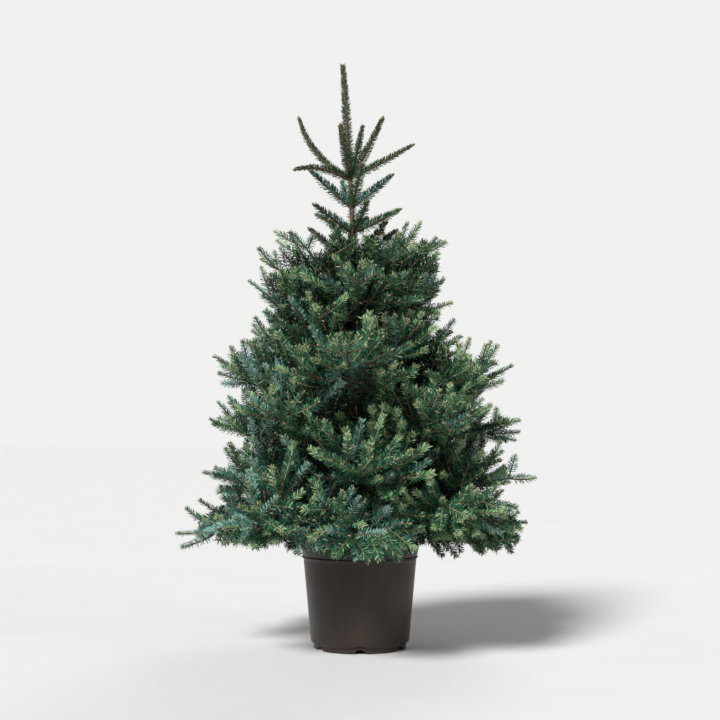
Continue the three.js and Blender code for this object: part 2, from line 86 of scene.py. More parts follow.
def colour(red, green, blue):
    """An sRGB colour of 0 to 255 as linear light: ((c + 0.055) / 1.055) ** 2.4 above the dark toe."""
    share = np.array([red, green, blue]) / 255
    linear = np.where(share > 0.04045, ((share + 0.055) / 1.055) ** 2.4, share / 12.92)
    return (*linear.tolist(), 1.0)


def mottle_group():
    """The shader group for uneven colour: noise on Object coordinates picks between Dark and Light,
    and its height is there for relief."""
    group = bpy.data.node_groups.new("mottle", "ShaderNodeTree")
    for name in ("Dark", "Light"):
        group.interface.new_socket(name, in_out="INPUT", socket_type="NodeSocketColor")
    for name in ("Scale", "Detail", "Stretch", "Sharpness"):
        group.interface.new_socket(name, in_out="INPUT", socket_type="NodeSocketFloat")
    group.interface.new_socket("Color", in_out="OUTPUT", socket_type="NodeSocketColor")
    group.interface.new_socket("Height", in_out="OUTPUT", socket_type="NodeSocketFloat")
    nodes, links = group.nodes, group.links
    inside, outside = nodes.new("NodeGroupInput"), nodes.new("NodeGroupOutput")
    place = nodes.new("ShaderNodeTexCoord")
    stretch = nodes.new("ShaderNodeCombineXYZ")
    stretch.inputs["X"].default_value = stretch.inputs["Y"].default_value = 1
    scaled = nodes.new("ShaderNodeVectorMath")
    scaled.operation = "MULTIPLY"
    noise = nodes.new("ShaderNodeTexNoise")
    spread = nodes.new("ShaderNodeMath")
    spread.operation, spread.use_clamp = "MULTIPLY_ADD", True
    back = nodes.new("ShaderNodeMath")
    back.operation = "MULTIPLY_ADD"
    back.inputs[1].default_value, back.inputs[2].default_value = -0.5, 0.5
    mix = nodes.new("ShaderNodeMix")
    mix.data_type = "RGBA"
    links.new(inside.outputs["Stretch"], stretch.inputs["Z"])
    links.new(place.outputs["Object"], scaled.inputs[0])
    links.new(stretch.outputs[0], scaled.inputs[1])
    links.new(scaled.outputs[0], noise.inputs["Vector"])
    links.new(inside.outputs["Scale"], noise.inputs["Scale"])
    links.new(inside.outputs["Detail"], noise.inputs["Detail"])
    links.new(inside.outputs["Sharpness"], back.inputs[0])
    links.new(noise.outputs[0], spread.inputs[0])
    links.new(inside.outputs["Sharpness"], spread.inputs[1])
    links.new(back.outputs[0], spread.inputs[2])
    links.new(spread.outputs[0], mix.inputs["Factor"])
    links.new(inside.outputs["Dark"], mix.inputs["A"])
    links.new(inside.outputs["Light"], mix.inputs["B"])
    links.new(mix.outputs["Result"], outside.inputs["Color"])
    links.new(spread.outputs[0], outside.inputs["Height"])
    return group


mottle = mottle_group()


def shader_of(material):
    """The material's one shader."""
    return material.node_tree.nodes["Principled BSDF"]


def set_mottle(node, dark, light, scale, detail, stretch, sharpness):
    """The group of uneven colour on this node, with its two colours and its noise."""
    node.node_tree = mottle
    values = {
        "Dark": dark, "Light": light, "Scale": scale, "Detail": detail, "Stretch": stretch,
        "Sharpness": sharpness,
    }
    for socket, value in values.items():
        node.inputs[socket].default_value = value


def finish(
    name, dark, light, scale, roughness, detail=3.0, stretch=1.0, sharpness=2.5, bump=0.0, depth=0.001,
):
    """A material whose colour runs unevenly from dark to light, with relief of that depth where bump is
    over 0."""
    material = bpy.data.materials.new(name)
    material.use_nodes = True
    nodes, links = material.node_tree.nodes, material.node_tree.links
    shader = shader_of(material)
    shader.inputs["Roughness"].default_value = roughness
    tone = nodes.new("ShaderNodeGroup")
    tone.name = "tone"
    set_mottle(tone, colour(*dark), colour(*light), scale, detail, stretch, sharpness)
    links.new(tone.outputs["Color"], shader.inputs["Base Color"])
    if bump:
        relief = nodes.new("ShaderNodeBump")
        relief.inputs["Strength"].default_value = bump
        relief.inputs["Distance"].default_value = depth
        links.new(tone.outputs["Height"], relief.inputs["Height"])
        links.new(relief.outputs["Normal"], shader.inputs["Normal"])
    return material


FLOOR_RADIUS = 400.0
FLOOR_DROP = 0.0004  # the floor lies this much below the pot's underside
FLOOR_SIDES = 96
BACKDROP = (0.874, 0.880, 0.866, 1.0)
SKY_STRENGTH = 0.20  # of the light that the same sky gives, as a share of how bright it looks
LAMPS = {  # where each stands, how wide it looks in degrees, and its strength
    "key_lamp": ((-1.7, -2.8, 2.9), 17, 5.15),
    "fill_lamp": ((3.0, -2.2, 1.5), 40, 0.45),
    "edge_lamp": ((0.9, 3.0, 2.4), 30, 0.80),
}

floor_turns = np.linspace(0, 2 * math.pi, FLOOR_SIDES, endpoint=False)
floor_edge = FLOOR_RADIUS * np.stack([np.cos(floor_turns), np.sin(floor_turns), 0 * floor_turns], -1)
floor_finish = finish("pale_floor", (201, 201, 200), (204, 204, 203), 3.0, 0.9)
floor = new_piece(
    "floor", floor_edge - [0, 0, FLOOR_DROP], [np.arange(FLOOR_SIDES)[None]], floor_finish, smooth=False
)

world = bpy.data.worlds.new("studio")
world.use_nodes = True
sky_light = world.node_tree.nodes["Background"]
sky_light.inputs["Color"].default_value = BACKDROP
sky_light.inputs["Strength"].default_value = SKY_STRENGTH
sky_seen = world.node_tree.nodes.new("ShaderNodeBackground")
sky_seen.inputs["Color"].default_value = BACKDROP
sky_choice = world.node_tree.nodes.new("ShaderNodeMixShader")
sky_ray = world.node_tree.nodes.new("ShaderNodeLightPath")
world.node_tree.links.new(sky_ray.outputs["Is Camera Ray"], sky_choice.inputs["Fac"])
world.node_tree.links.new(sky_light.outputs[0], sky_choice.inputs[1])
world.node_tree.links.new(sky_seen.outputs[0], sky_choice.inputs[2])
world.node_tree.links.new(sky_choice.outputs[0], world.node_tree.nodes["World Output"].inputs["Surface"])
bpy.context.scene.world = world
bpy.context.scene.view_settings.view_transform = "Standard"

for name, (place, width, strength) in LAMPS.items():
    lamp = bpy.data.lights.new(name, "SUN")
    lamp.angle, lamp.energy = math.radians(width), strength
    holder = bpy.data.objects.new(name, lamp)
    holder.location = place
    holder.rotation_euler = (-Vector(place)).to_track_quat("-Z", "Y").to_euler()
    bpy.context.scene.collection.objects.link(holder)

# ---- Pot ----
# A ten-litre nursery container moulded in one wall from brown-black plastic: a tapered body with fine
# moulding rings, a flared band that overhangs it, and a drawn-in foot with six drain arches.
POT_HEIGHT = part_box("pot")[1].z
RIM_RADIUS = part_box("pot")[1].x
BAND_HEIGHT = 0.028
WALL_TOP_RADIUS = 0.134
WALL_FOOT_RADIUS = 0.116
FOOT_RADIUS = 0.109
FOOT_HEIGHT = 0.017
POT_WALL = 0.003
POT_FLOOR = 0.004
LEDGE = 0.0034  # how far the bead at the band's foot overhangs the wall
BEAD = 0.0028  # and half its height
CORNER = 0.0016  # rounding of the edges
CORNER_STEPS = 5
RINGS_FROM, RINGS_TO = 0.118, 0.204  # the stretch of wall with moulding rings
RING_PITCH = 0.0026
RING_DEPTH = 0.00022
RINGS_FADE = 0.050  # the height over which they grow to their full depth
ROWS_PER_RING = 4
POT_COLUMNS = 192
DRAIN_COUNT = 6
DRAIN_WIDTH = 0.031
DRAIN_HEIGHT = 0.010
DRAIN_DEPTH = 0.016
DRAIN_BLEND = 0.024  # below this height the wall makes way for the arches
FLOOR_MIDDLE = 0.03  # radius of the flat disc in the middle of the pot's floor
SMALL_STEP = 0.001  # the short flats and slopes beside the pot's edges
FOOT_EDGE = 0.55  # share of the foot's height up to which it is nearly upright


def rounded(corners, radius, steps):
    """The outline with each inner corner replaced by a parabola, which leaves and rejoins the outline one
    radius away, or at 0.45 of a shorter stretch."""
    corners = np.array(corners, float)
    t = np.linspace(0, 1, steps)[:, None]
    stretches = [corners[:1]]
    for before, corner, after in zip(corners, corners[1:], corners[2:]):
        back, ahead = before - corner, after - corner
        start = corner + back * min(radius / np.linalg.norm(back), 0.45)
        end = corner + ahead * min(radius / np.linalg.norm(ahead), 0.45)
        stretches.append((1 - t) ** 2 * start + 2 * t * (1 - t) * corner + t**2 * end)
    return np.vstack([*stretches, corners[-1:]])


def ring_faces(rows, columns):
    """Quads between neighbouring rings of a closed surface, and fans to its two poles, which follow the
    rings in the list of points."""
    row, column = np.meshgrid(np.arange(rows - 1), np.arange(columns), indexing="ij")
    beside = (column + 1) % columns
    below, above = row * columns, (row + 1) * columns
    quads = np.stack([below + column, below + beside, above + beside, above + column], -1)
    one = np.arange(columns)
    other = (one + 1) % columns
    last = (rows - 1) * columns
    first_fan = np.stack([other, one, np.full(columns, rows * columns)], -1)
    last_fan = np.stack([last + one, last + other, np.full(columns, rows * columns + 1)], -1)
    return [quads.reshape(-1, 4), np.concatenate([first_fan, last_fan])]


def turned(profile, columns):
    """The rings of a surface of revolution: each point (r, z) of the profile at every turn round Z."""
    turns = np.linspace(0, 2 * math.pi, columns, endpoint=False)
    radius, height = profile[:, :1], profile[:, 1:]
    return np.stack(np.broadcast_arrays(radius * np.cos(turns), radius * np.sin(turns), height), -1)


def pot_wall_radius(height):
    """The outer wall's radius, which grows evenly from the foot to the band."""
    share = (height - FOOT_HEIGHT) / (POT_HEIGHT - BAND_HEIGHT - FOOT_HEIGHT)
    return WALL_FOOT_RADIUS + (WALL_TOP_RADIUS - WALL_FOOT_RADIUS) * share


def pot_profile():
    """The outline from under the floor, up the outside with its rings, over the rim and down inside."""
    band_foot = POT_HEIGHT - BAND_HEIGHT
    inner_rim = RIM_RADIUS - 2 * POT_WALL
    outside = [
        (FLOOR_MIDDLE, 0),
        (FOOT_RADIUS - DRAIN_DEPTH, 0),
        (FOOT_RADIUS - DRAIN_DEPTH + SMALL_STEP, 0),
        (FOOT_RADIUS, 0),
        (FOOT_RADIUS - SMALL_STEP, FOOT_HEIGHT * FOOT_EDGE),
        (WALL_FOOT_RADIUS, FOOT_HEIGHT),
        (pot_wall_radius(RINGS_FROM), RINGS_FROM),
    ]
    height = np.arange(RINGS_FROM, RINGS_TO, RING_PITCH / ROWS_PER_RING)[1:]
    depth = RING_DEPTH * np.clip((height - RINGS_FROM) / RINGS_FADE, 0, 1)
    wave = depth * np.sin(2 * math.pi * (height - RINGS_FROM) / RING_PITCH)
    rings = np.stack([pot_wall_radius(height) + wave, height], -1)
    above = [
        (pot_wall_radius(RINGS_TO), RINGS_TO),
        (WALL_TOP_RADIUS, band_foot - BEAD),
        (WALL_TOP_RADIUS + LEDGE, band_foot - 0.5 * BEAD),
        (WALL_TOP_RADIUS + LEDGE, band_foot + 0.5 * BEAD),
        (WALL_TOP_RADIUS + 0.3 * LEDGE, band_foot + BEAD),
        (RIM_RADIUS, POT_HEIGHT - 0.004),
        (RIM_RADIUS - SMALL_STEP, POT_HEIGHT),
        (inner_rim, POT_HEIGHT),
        (WALL_TOP_RADIUS - POT_WALL, band_foot),
        (WALL_FOOT_RADIUS - POT_WALL, FOOT_HEIGHT + 0.002),
        (FOOT_RADIUS - SMALL_STEP - POT_WALL, FOOT_HEIGHT * FOOT_EDGE + 0.002),
        (FOOT_RADIUS - POT_WALL, POT_FLOOR),
        (FOOT_RADIUS - DRAIN_DEPTH - POT_WALL, POT_FLOOR),
        (FOOT_RADIUS - DRAIN_DEPTH - POT_WALL - SMALL_STEP, POT_FLOOR),
        (FLOOR_MIDDLE, POT_FLOOR),
    ]
    return np.vstack([rounded(outside, CORNER, CORNER_STEPS), rings, rounded(above, CORNER, CORNER_STEPS)])


def arched(rings):
    """The same rings with the foot raised over each drain. Within an arch of height a = H (1 - (2d/W)^2),
    a point at height z under the blend height B moves to a + z (B - a) / B."""
    flat = np.hypot(rings[..., 0], rings[..., 1])
    turn = np.arctan2(rings[..., 1], rings[..., 0]) + math.pi / 2
    between = 2 * math.pi / DRAIN_COUNT
    off = ((turn / between + 0.5) % 1 - 0.5) * between * FOOT_RADIUS
    arch = DRAIN_HEIGHT * np.clip(1 - (2 * off / DRAIN_WIDTH) ** 2, 0, None)
    inside = rings[..., 2] > 0.9 * POT_FLOOR
    reach = FOOT_RADIUS - DRAIN_DEPTH - np.where(inside, POT_WALL, 0) + 0.0004
    moved = (flat > reach) & (rings[..., 2] < DRAIN_BLEND)
    rings[..., 2] = np.where(moved, arch + rings[..., 2] * (DRAIN_BLEND - arch) / DRAIN_BLEND, rings[..., 2])
    return rings


plastic = finish(
    "nursery_plastic", (32, 23, 18), (39, 28, 22), 9.0, 0.42, detail=4.0, stretch=0.25, bump=0.06,
    depth=0.0004,
)
SCUFF_ROUGHNESS = (0.36, 0.52)  # between the streaks and on them
DUST_COLOUR = colour(88, 75, 66)
DUST_SHARE = 0.16  # how far the streaks pale the plastic
for socket, value in (("Specular IOR Level", 0.28), ("Coat Weight", 0.16), ("Coat Roughness", 0.28)):
    shader_of(plastic).inputs[socket].default_value = value


def add_scuffs(material):
    """Dull dusty streaks on the plastic, which run down it: they lift the roughness, and pale the colour
    a little."""
    nodes, links = material.node_tree.nodes, material.node_tree.links
    shader = shader_of(material)
    streaks = nodes.new("ShaderNodeGroup")
    set_mottle(streaks, (0, 0, 0, 1), (1, 1, 1, 1), scale=26.0, detail=6.0, stretch=0.35, sharpness=3.0)
    rough = nodes.new("ShaderNodeMapRange")
    rough.inputs["To Min"].default_value, rough.inputs["To Max"].default_value = SCUFF_ROUGHNESS
    dust = nodes.new("ShaderNodeMix")
    dust.data_type = "RGBA"
    dust.inputs["B"].default_value = DUST_COLOUR
    share = nodes.new("ShaderNodeMath")
    share.operation = "MULTIPLY"
    share.inputs[1].default_value = DUST_SHARE
    links.new(streaks.outputs["Height"], rough.inputs["Value"])
    links.new(rough.outputs["Result"], shader.inputs["Roughness"])
    links.new(streaks.outputs["Height"], share.inputs[0])
    links.new(share.outputs[0], dust.inputs["Factor"])
    links.new(nodes["tone"].outputs["Color"], dust.inputs["A"])
    links.new(dust.outputs["Result"], shader.inputs["Base Color"])


add_scuffs(plastic)
pot_rings = arched(turned(pot_profile(), POT_COLUMNS))
pot_poles = [[0, 0, 0], [0, 0, POT_FLOOR]]
pot = new_piece(
    "pot_shell",
    np.vstack([pot_rings.reshape(-1, 3), pot_poles]),
    ring_faces(len(pot_rings), POT_COLUMNS),
    plastic,
)
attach(pot, "root")
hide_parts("pot")

# ---- Compost ----
# Moist bark compost, filled to a finger's width below the rim and settled unevenly, with loose chips
# of bark lying on it.
SOIL_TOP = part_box("soil")[1].z
SOIL_FOOT = 0.026
SOIL_CLEAR = 0.0006  # left between the compost and the pot's inner wall
SOIL_ROWS = 70
SOIL_COLUMNS = 160
CRUMB_DEPTH = 0.0045
CHIP_COUNT = 900
CHIP_LONG = 0.009
CHIP_SEED = 41
CHIP_REACH = 0.118  # how far from the pot's middle chips lie
CRUMBS = ((9, 12, 5), (34, 80, 6))  # broad and fine: cells along, cells round and seed
FINE_CRUMBS = 0.9  # how deep the fine ones are, as a share of the broad ones


def rough_field(rows, columns, cells_along, cells_round, seed):
    """Smooth noise from -1 to 1 on a grid that closes round on itself: random values at coarse cells,
    blended between them by 3t^2 - 2t^3."""
    lattice = np.random.default_rng(seed).uniform(-1, 1, (cells_along + 2, cells_round))
    along_cells, round_cells = np.linspace(0, cells_along, rows), np.arange(columns) * cells_round / columns
    i, j = along_cells.astype(int), round_cells.astype(int)
    u, v = along_cells - i, round_cells - j
    u, v = (u * u * (3 - 2 * u))[:, None], v * v * (3 - 2 * v)
    beside = (j + 1) % cells_round
    near, far = (lattice[k][:, j] * (1 - v) + lattice[k][:, beside] * v for k in (i, i + 1))
    return near * (1 - u) + far * u


def soil_rings():
    """The inner wall's cone from the foot up to the surface, then the surface in to its middle, lowered
    everywhere by crumbs of noise."""
    edge = pot_wall_radius(SOIL_TOP - 0.004) - POT_WALL - SOIL_CLEAR
    foot = pot_wall_radius(SOIL_FOOT) - POT_WALL - SOIL_CLEAR
    wall = [(0.02, SOIL_FOOT), (foot, SOIL_FOOT), (edge, SOIL_TOP - 0.006)]
    inward = np.linspace(edge - 0.004, 0.004, SOIL_ROWS)
    surface = np.stack([inward, np.full(SOIL_ROWS, SOIL_TOP)], -1)
    rings = turned(np.vstack([wall, surface]), SOIL_COLUMNS)
    broad, fine = (rough_field(SOIL_ROWS, SOIL_COLUMNS, *crumbs) for crumbs in CRUMBS)
    rings[len(wall) :, :, 2] -= CRUMB_DEPTH * (1 + 0.5 * (broad + FINE_CRUMBS * fine))
    return rings


def chips(count, long, seed):
    """Loose chips: each the eight corners of a flat box, jittered, turned any way and half sunk in."""
    draw = np.random.default_rng(seed)
    corner = np.array([[x, y, z] for z in (-1, 1) for y in (-1, 1) for x in (-1, 1)], float) / 2
    size = long * draw.uniform(0.35, 1, (count, 1, 1)) * np.array([1, 0.6, 0.3])
    shape = corner * size * draw.uniform(0.7, 1.2, (count, 8, 1))
    turn, tilt = draw.uniform(0, 2 * math.pi, count), draw.uniform(-0.5, 0.5, count)
    x = shape[..., 0] * np.cos(tilt)[:, None] - shape[..., 2] * np.sin(tilt)[:, None]
    z = shape[..., 0] * np.sin(tilt)[:, None] + shape[..., 2] * np.cos(tilt)[:, None]
    across = np.stack([
        x * np.cos(turn)[:, None] - shape[..., 1] * np.sin(turn)[:, None],
        x * np.sin(turn)[:, None] + shape[..., 1] * np.cos(turn)[:, None],
        z,
    ], -1)
    out = CHIP_REACH * np.sqrt(draw.uniform(0.04, 1, count))
    bearing = draw.uniform(0, 2 * math.pi, count)
    height = np.full(count, SOIL_TOP - CRUMB_DEPTH)
    middle = np.stack([out * np.cos(bearing), out * np.sin(bearing), height], -1)
    return across + middle[:, None]


def repeated(faces, count, points_each):
    """The faces of one small shape for every copy of it, each copy's corners counted on from the last."""
    start = (np.arange(count) * points_each)[:, None, None]
    return [(block[None] + start).reshape(-1, block.shape[1]) for block in faces]


compost = finish(
    "bark_compost", (24, 17, 12), (62, 45, 32), 160.0, 0.95, detail=6.0, sharpness=3.5, bump=0.8, depth=0.002
)
soil = soil_rings()
soil_poles = [[0, 0, SOIL_FOOT], [0, 0, SOIL_TOP - CRUMB_DEPTH]]
surface = new_piece(
    "compost_surface",
    np.vstack([soil.reshape(-1, 3), soil_poles]),
    ring_faces(len(soil), SOIL_COLUMNS),
    compost,
)
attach(surface, "root")
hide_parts("soil")

CHIP_FACES = np.array([[0, 2, 3, 1], [4, 5, 7, 6], [0, 1, 5, 4], [1, 3, 7, 5], [3, 2, 6, 7], [2, 0, 4, 6]])
bark_chip = finish("bark_chips", (52, 36, 25), (98, 72, 50), 90.0, 0.9, bump=0.5, depth=0.001)
loose_chips = new_piece(
    "compost_chips",
    chips(CHIP_COUNT, CHIP_LONG, CHIP_SEED),
    repeated([CHIP_FACES], CHIP_COUNT, 8),
    bark_chip,
    smooth=False,
)
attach(loose_chips, "root")

# ---- Trunk ----
# One leader stem from a flared foot at the compost to the bud at its tip, which leans a little to the
# left towards the top. Its bark is thin and scaly, coarse at the foot and finer upwards.
GAP = 0.0003
TREE_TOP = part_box("trunk")[1].z
CROWN_DRIFT = -0.042
DRIFT_POWER = 2.1
TRUNK_FOOT_RADIUS = 0.015
TRUNK_TIP_RADIUS = 0.0022
FLARE = 0.007
FLARE_HEIGHT = 0.018
BUD_RADIUS = 0.004
BUD_LENGTH = 0.016
TRUNK_ROWS = 620
TRUNK_COLUMNS = 36
BARK_RELIEF = 0.07  # depth of the bark's scales, as a share of the trunk's radius
TRUNK_SUNK = 0.004  # how far the trunk goes down into the compost
BARK_SEED = 11
UP = np.array([0.0, 0.0, 1.0])
FRONT = np.array([0.0, -1.0, 0.0])
UPRIGHT = 0.15  # sine of the angle from upright within which a level direction is chosen freely


def up_trunk(height):
    """The share of the way up the trunk, from the compost to the tip."""
    return np.clip((height - SOIL_TOP) / (TREE_TOP - SOIL_TOP), 0, None)


def trunk_axis(height):
    """The trunk's middle at a height h: x = drift u^power, where u is the share of the way up."""
    height = np.asarray(height, float)
    return np.stack([CROWN_DRIFT * up_trunk(height) ** DRIFT_POWER, 0 * height, height], -1)


def trunk_radius(height):
    """An even taper, with the root flare added as FLARE exp(-h / FLARE_HEIGHT)."""
    taper = TRUNK_TIP_RADIUS + (TRUNK_FOOT_RADIUS - TRUNK_TIP_RADIUS) * (1 - up_trunk(height))
    return taper + FLARE * np.exp(-(height - SOIL_TOP) / FLARE_HEIGHT)


def bark_relief(rows, columns, seed):
    """Scales of bark: long plates of noise along the wood, with their edges sharpened, and fine grain."""
    plates = rough_field(rows, columns, rows // 9, 14, seed)
    grain = rough_field(rows, columns, rows // 3, 24, seed + 1)
    broad = rough_field(rows, columns, rows // 40 + 2, 5, seed + 2)
    return 0.6 * np.sign(plates) * np.abs(plates) ** 0.5 + 0.3 * grain + 0.5 * broad


def unit(vectors):
    """Each vector at length 1."""
    return vectors / np.maximum(np.linalg.norm(vectors, axis=-1, keepdims=True), 1e-12)


def square_to(way):
    """Two directions square to each way and to each other, one level unless the way is upright and one
    over it, and whether the way is upright."""
    level = np.cross(UP, way)
    upright = np.linalg.norm(level, axis=-1, keepdims=True) < UPRIGHT
    level = unit(np.where(upright, np.cross(FRONT, way), level))
    return level, np.cross(way, level), upright


def tube_points(paths, radii, sides):
    """Rings of points round each path: middle + r cos(a) level + r sin(a) over, then its two ends."""
    level, over, _ = square_to(unit(np.gradient(paths, axis=-2)))
    angle = np.linspace(0, 2 * math.pi, sides, endpoint=False)
    radii = np.broadcast_to(np.asarray(radii), (*paths.shape[:-1], sides))
    round_it = level[..., None, :] * np.cos(angle)[:, None] + over[..., None, :] * np.sin(angle)[:, None]
    rings = paths[..., None, :] + radii[..., None] * round_it
    rings = rings.reshape(*paths.shape[:-2], -1, 3)
    return np.concatenate([rings, paths[..., :1, :], paths[..., -1:, :]], axis=-2)


def trunk_points():
    """The trunk's rings: its radius times 1 + relief, and at the tip an egg-shaped bud."""
    height = np.linspace(SOIL_TOP - TRUNK_SUNK, TREE_TOP, TRUNK_ROWS)
    bud = np.clip((height - (TREE_TOP - BUD_LENGTH)) / BUD_LENGTH, 0, 1)
    swell = TRUNK_TIP_RADIUS + (BUD_RADIUS - TRUNK_TIP_RADIUS) * np.sin(math.pi * np.clip(bud * 1.25, 0, 1))
    below_bud = trunk_radius(np.maximum(height, SOIL_TOP))
    radius = np.where(bud > 0, swell * np.sqrt(np.clip(1 - bud**3, 0.0004, 1)), below_bud)
    relief = bark_relief(TRUNK_ROWS, TRUNK_COLUMNS, BARK_SEED)
    return tube_points(trunk_axis(height), radius[:, None] * (1 + BARK_RELIEF * relief), TRUNK_COLUMNS)


bark = finish(
    "spruce_bark", (52, 40, 31), (112, 88, 66), 210.0, 0.9, detail=5.0, stretch=0.35, sharpness=3.0,
    bump=0.7, depth=0.0012,
)
trunk = new_piece("trunk_bark", trunk_points(), ring_faces(TRUNK_ROWS, TRUNK_COLUMNS), bark)
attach(trunk, "root")
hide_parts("trunk")

# ---- Growth of the crown ----
# The crown grows by one seeded rule. Whorls of boughs leave the trunk, each bough carries a spray on one
# stem, and side twigs leave that stem in pairs and branch once more, wherever they find room.
WHORL_VALUES = ("height", "count", "reach", "drift", "rise", "lift", "slant", "turn", "bare")
WHORLS = [  # drift and slant: how much further out and steeper (degrees) boughs to the right are
    dict(zip(WHORL_VALUES, values))
    for values in (
        (0.288, 8, 0.416, -0.014, -3, 5, 2, 0, 0.07),
        (0.352, 5, 0.394, 0.012, 4, 8, 0, 54, 0),
        (0.428, 5, 0.392, 0.012, 11, 10, 0, 18, 0),
        (0.508, 5, 0.364, 0.006, 17, 12, -3, 54, 0),
        (0.604, 5, 0.256, -0.018, 22, 16, 0, 18, 0),
        (0.702, 5, 0.238, -0.026, 25, 18, 2, 54, 0),
        (0.800, 5, 0.218, -0.016, 26, 16, 6, 18, 0),
    )
]
NEEDLE_REACH = 0.020  # radius kept for a twig with its needles
TOP_REACH = 0.013  # and for a shoot of the open top
NEEDLE_STEP = 0.042  # length of twig for each ring of needles in the solids
BARE_TWIG = 0.0028  # radius of a bare twig
STEM_RADIUS, STEM_SHARE = 0.0046, 0.38  # a main stem's radius, and its most as a share of the trunk's
STAGGER, WOBBLE = 0.018, 0.010  # how far up the trunk every other bough moves, and any bough at random
TURN_SPREAD, RISE_SPREAD = 10, 3  # degrees between the most and least
REACH_LEAST, REACH_SPREAD = 0.96, 0.06
SLICE = 1.3  # a bough's wedge of its whorl, as a share of an even one
SPRAY_STEPS = 12
BOUGH_RADII = (0.0066, 0.0056, 0.0051, 0.0047)  # at even steps from the trunk
FIRST_DRAWS = 3  # numbers thrown away at the start of each spray
COLLARS = [
    {"name": "collar_low", "height": 0.905, "count": 5, "length": 0.142, "rise": 36, "turn": 24},
    {"name": "collar_mid", "height": 0.985, "count": 5, "length": 0.122, "rise": 22, "turn": 0},
    {"name": "collar_high", "height": 1.046, "count": 4, "length": 0.128, "rise": 36, "turn": 14},
]
COLLAR_BARE, COLLAR_LIFT = 0.022, 10
FIRST_NODE, LAST_NODE = 0.46, 0.050  # first pair of side twigs as a share, and last one from the tip
NODE_SPACING = 0.084
SIDE_ANGLE, ANGLE_SPREAD = 50, 14  # degrees between side twig and stem
LOWEST_TILT, HIGHEST_TILT = -30, 62
SIDE_RATIO, SIDE_EXTRA = 0.56, 0.042  # a side twig's length: a share of what is left of its stem, and more
SIDE_LONGEST, SHORTEST = 0.178, 0.062
SIDE_BARE, SIDE_LIFT = 0.016, 16
PLACE_SPREAD = 0.014
SIZE_LEAST, SIZE_SPREAD = 0.9, 0.2
SHORTER = 0.82  # each try at a twig that doesn't fit is this share of the last
STEM_BARE = 0.5  # the share of a main stem without needles in the solids
PATH_STEPS, LINE_STEPS = 6, 10
BARE_STEP = 0.060  # length of bare twig for each of its rings
SAMPLE_STEP = 0.009  # between the balls of a twig's room
ROOM_MARGIN = 0.001
CORE_START, CORE_START_AT_TRUNK, CORE_END = 0.010, 0.032, 0.82  # metres, metres and share of the stem
CORE_HALF_WIDTH = 0.078
CORE_FLAT = 0.66  # its height as a share of its width
CORE_BLUNT = 0.12  # how much of the sine is left off at both ends
CORE_NOTCH = 0.74  # the width of every other ring, as a share
CORE_RINGS = 8
CORE_SHRINK = 0.92


def seeded(seed):
    """Numbers from 0 to 1: each state is 16807 times the last one, modulo 2^31 - 1."""
    state = seed
    while True:
        state = state * 16807 % 2147483647
        yield state / 2147483647


def heading(turn, rise):
    """The direction with this compass turn and rise, in degrees."""
    turn, rise = math.radians(turn), math.radians(rise)
    return np.array([math.cos(rise) * math.cos(turn), math.cos(rise) * math.sin(turn), math.sin(rise)])


def grow(start, way, length, lift, steps):
    """A stem's path in even steps, each along way + UP tan(lift (i + 1/2) / steps). It takes one stem,
    or rows of starts, ways and lengths."""
    bends = np.tan(np.radians(lift) * (np.arange(steps) + 0.5) / steps)
    ways = unit(np.asarray(way)[..., None, :] + UP * bends[:, None])
    strides = ways * (np.asarray(length)[..., None, None] / steps)
    start = np.asarray(start)[..., None, :]
    return np.concatenate([start, start + np.cumsum(strides, axis=-2)], axis=-2)


def along(paths, share, owner=0):
    """The points and directions at shares of the way along a path, or along those that own them."""
    paths = paths.reshape(-1, *paths.shape[-2:])
    place = np.minimum(share, 0.999) * (paths.shape[1] - 1)
    i = place.astype(int)
    stride = paths[owner, i + 1] - paths[owner, i]
    return paths[owner, i] + stride * (place - i)[..., None], unit(stride)


def new_twig(whole, length, bare, foot, reach=NEEDLE_REACH, start=0.0):
    """A twig on the part of a path beyond start. Its nodes lie on rings: some up to its first needles,
    then one for each step of needles. Its room is balls, thin where it is bare and otherwise as wide as
    its needles."""
    bare_steps = max(1, math.floor(bare / BARE_STEP + 0.5))
    needled_steps = max(2, math.floor((length - bare) / NEEDLE_STEP + 0.5))
    rings = np.concatenate([
        bare * np.arange(bare_steps) / (bare_steps * length),
        (bare + (length - bare) * np.arange(needled_steps + 1) / needled_steps) / length,
    ])
    count = max(2, math.ceil(length / SAMPLE_STEP))
    share = np.arange(count + 1) / count
    thin = share < (bare - NEEDLE_STEP / 2) / length
    return SimpleNamespace(
        path=along(whole, start + (1 - start) * rings)[0],
        line=along(whole, start + (1 - start) * np.linspace(0, 1, LINE_STEPS + 1))[0],
        room=(along(whole, start + (1 - start) * share)[0], np.where(thin, foot, reach) + ROOM_MARGIN),
        length=length, bare=bare, foot=foot,
    )


def joined(rooms):
    """Several rooms as one."""
    return tuple(np.concatenate(rows) for rows in zip(*rooms)) if rooms else (np.zeros((0, 3)), np.zeros(0))


def clear_of_pot_and_trunk(points, radii):
    """Whether each ball lies outside the pot's cylinder and off the trunk."""
    over_pot = (np.hypot(points[:, 0], points[:, 1]) < RIM_RADIUS + radii + GAP) & (
        points[:, 2] < POT_HEIGHT + radii + GAP
    )
    axis = trunk_axis(points[:, 2])
    from_trunk = np.hypot(points[:, 0] - axis[:, 0], points[:, 1])
    return ~over_pot & (from_trunk > trunk_radius(points[:, 2]) + radii + GAP)


def inside_slice(points, radii, spray):
    """Whether each ball lies within the spray's wedge of its whorl."""
    x, y = points[:, 0] - trunk_axis(spray.height)[0], points[:, 1]
    turned_by = np.abs(np.arctan2(y, x) - math.radians(spray.turn)) % (2 * math.pi)
    off = np.minimum(turned_by, 2 * math.pi - turned_by)
    return (off < spray.half) & (np.hypot(x, y) * np.sin(spray.half - off) > radii + GAP)


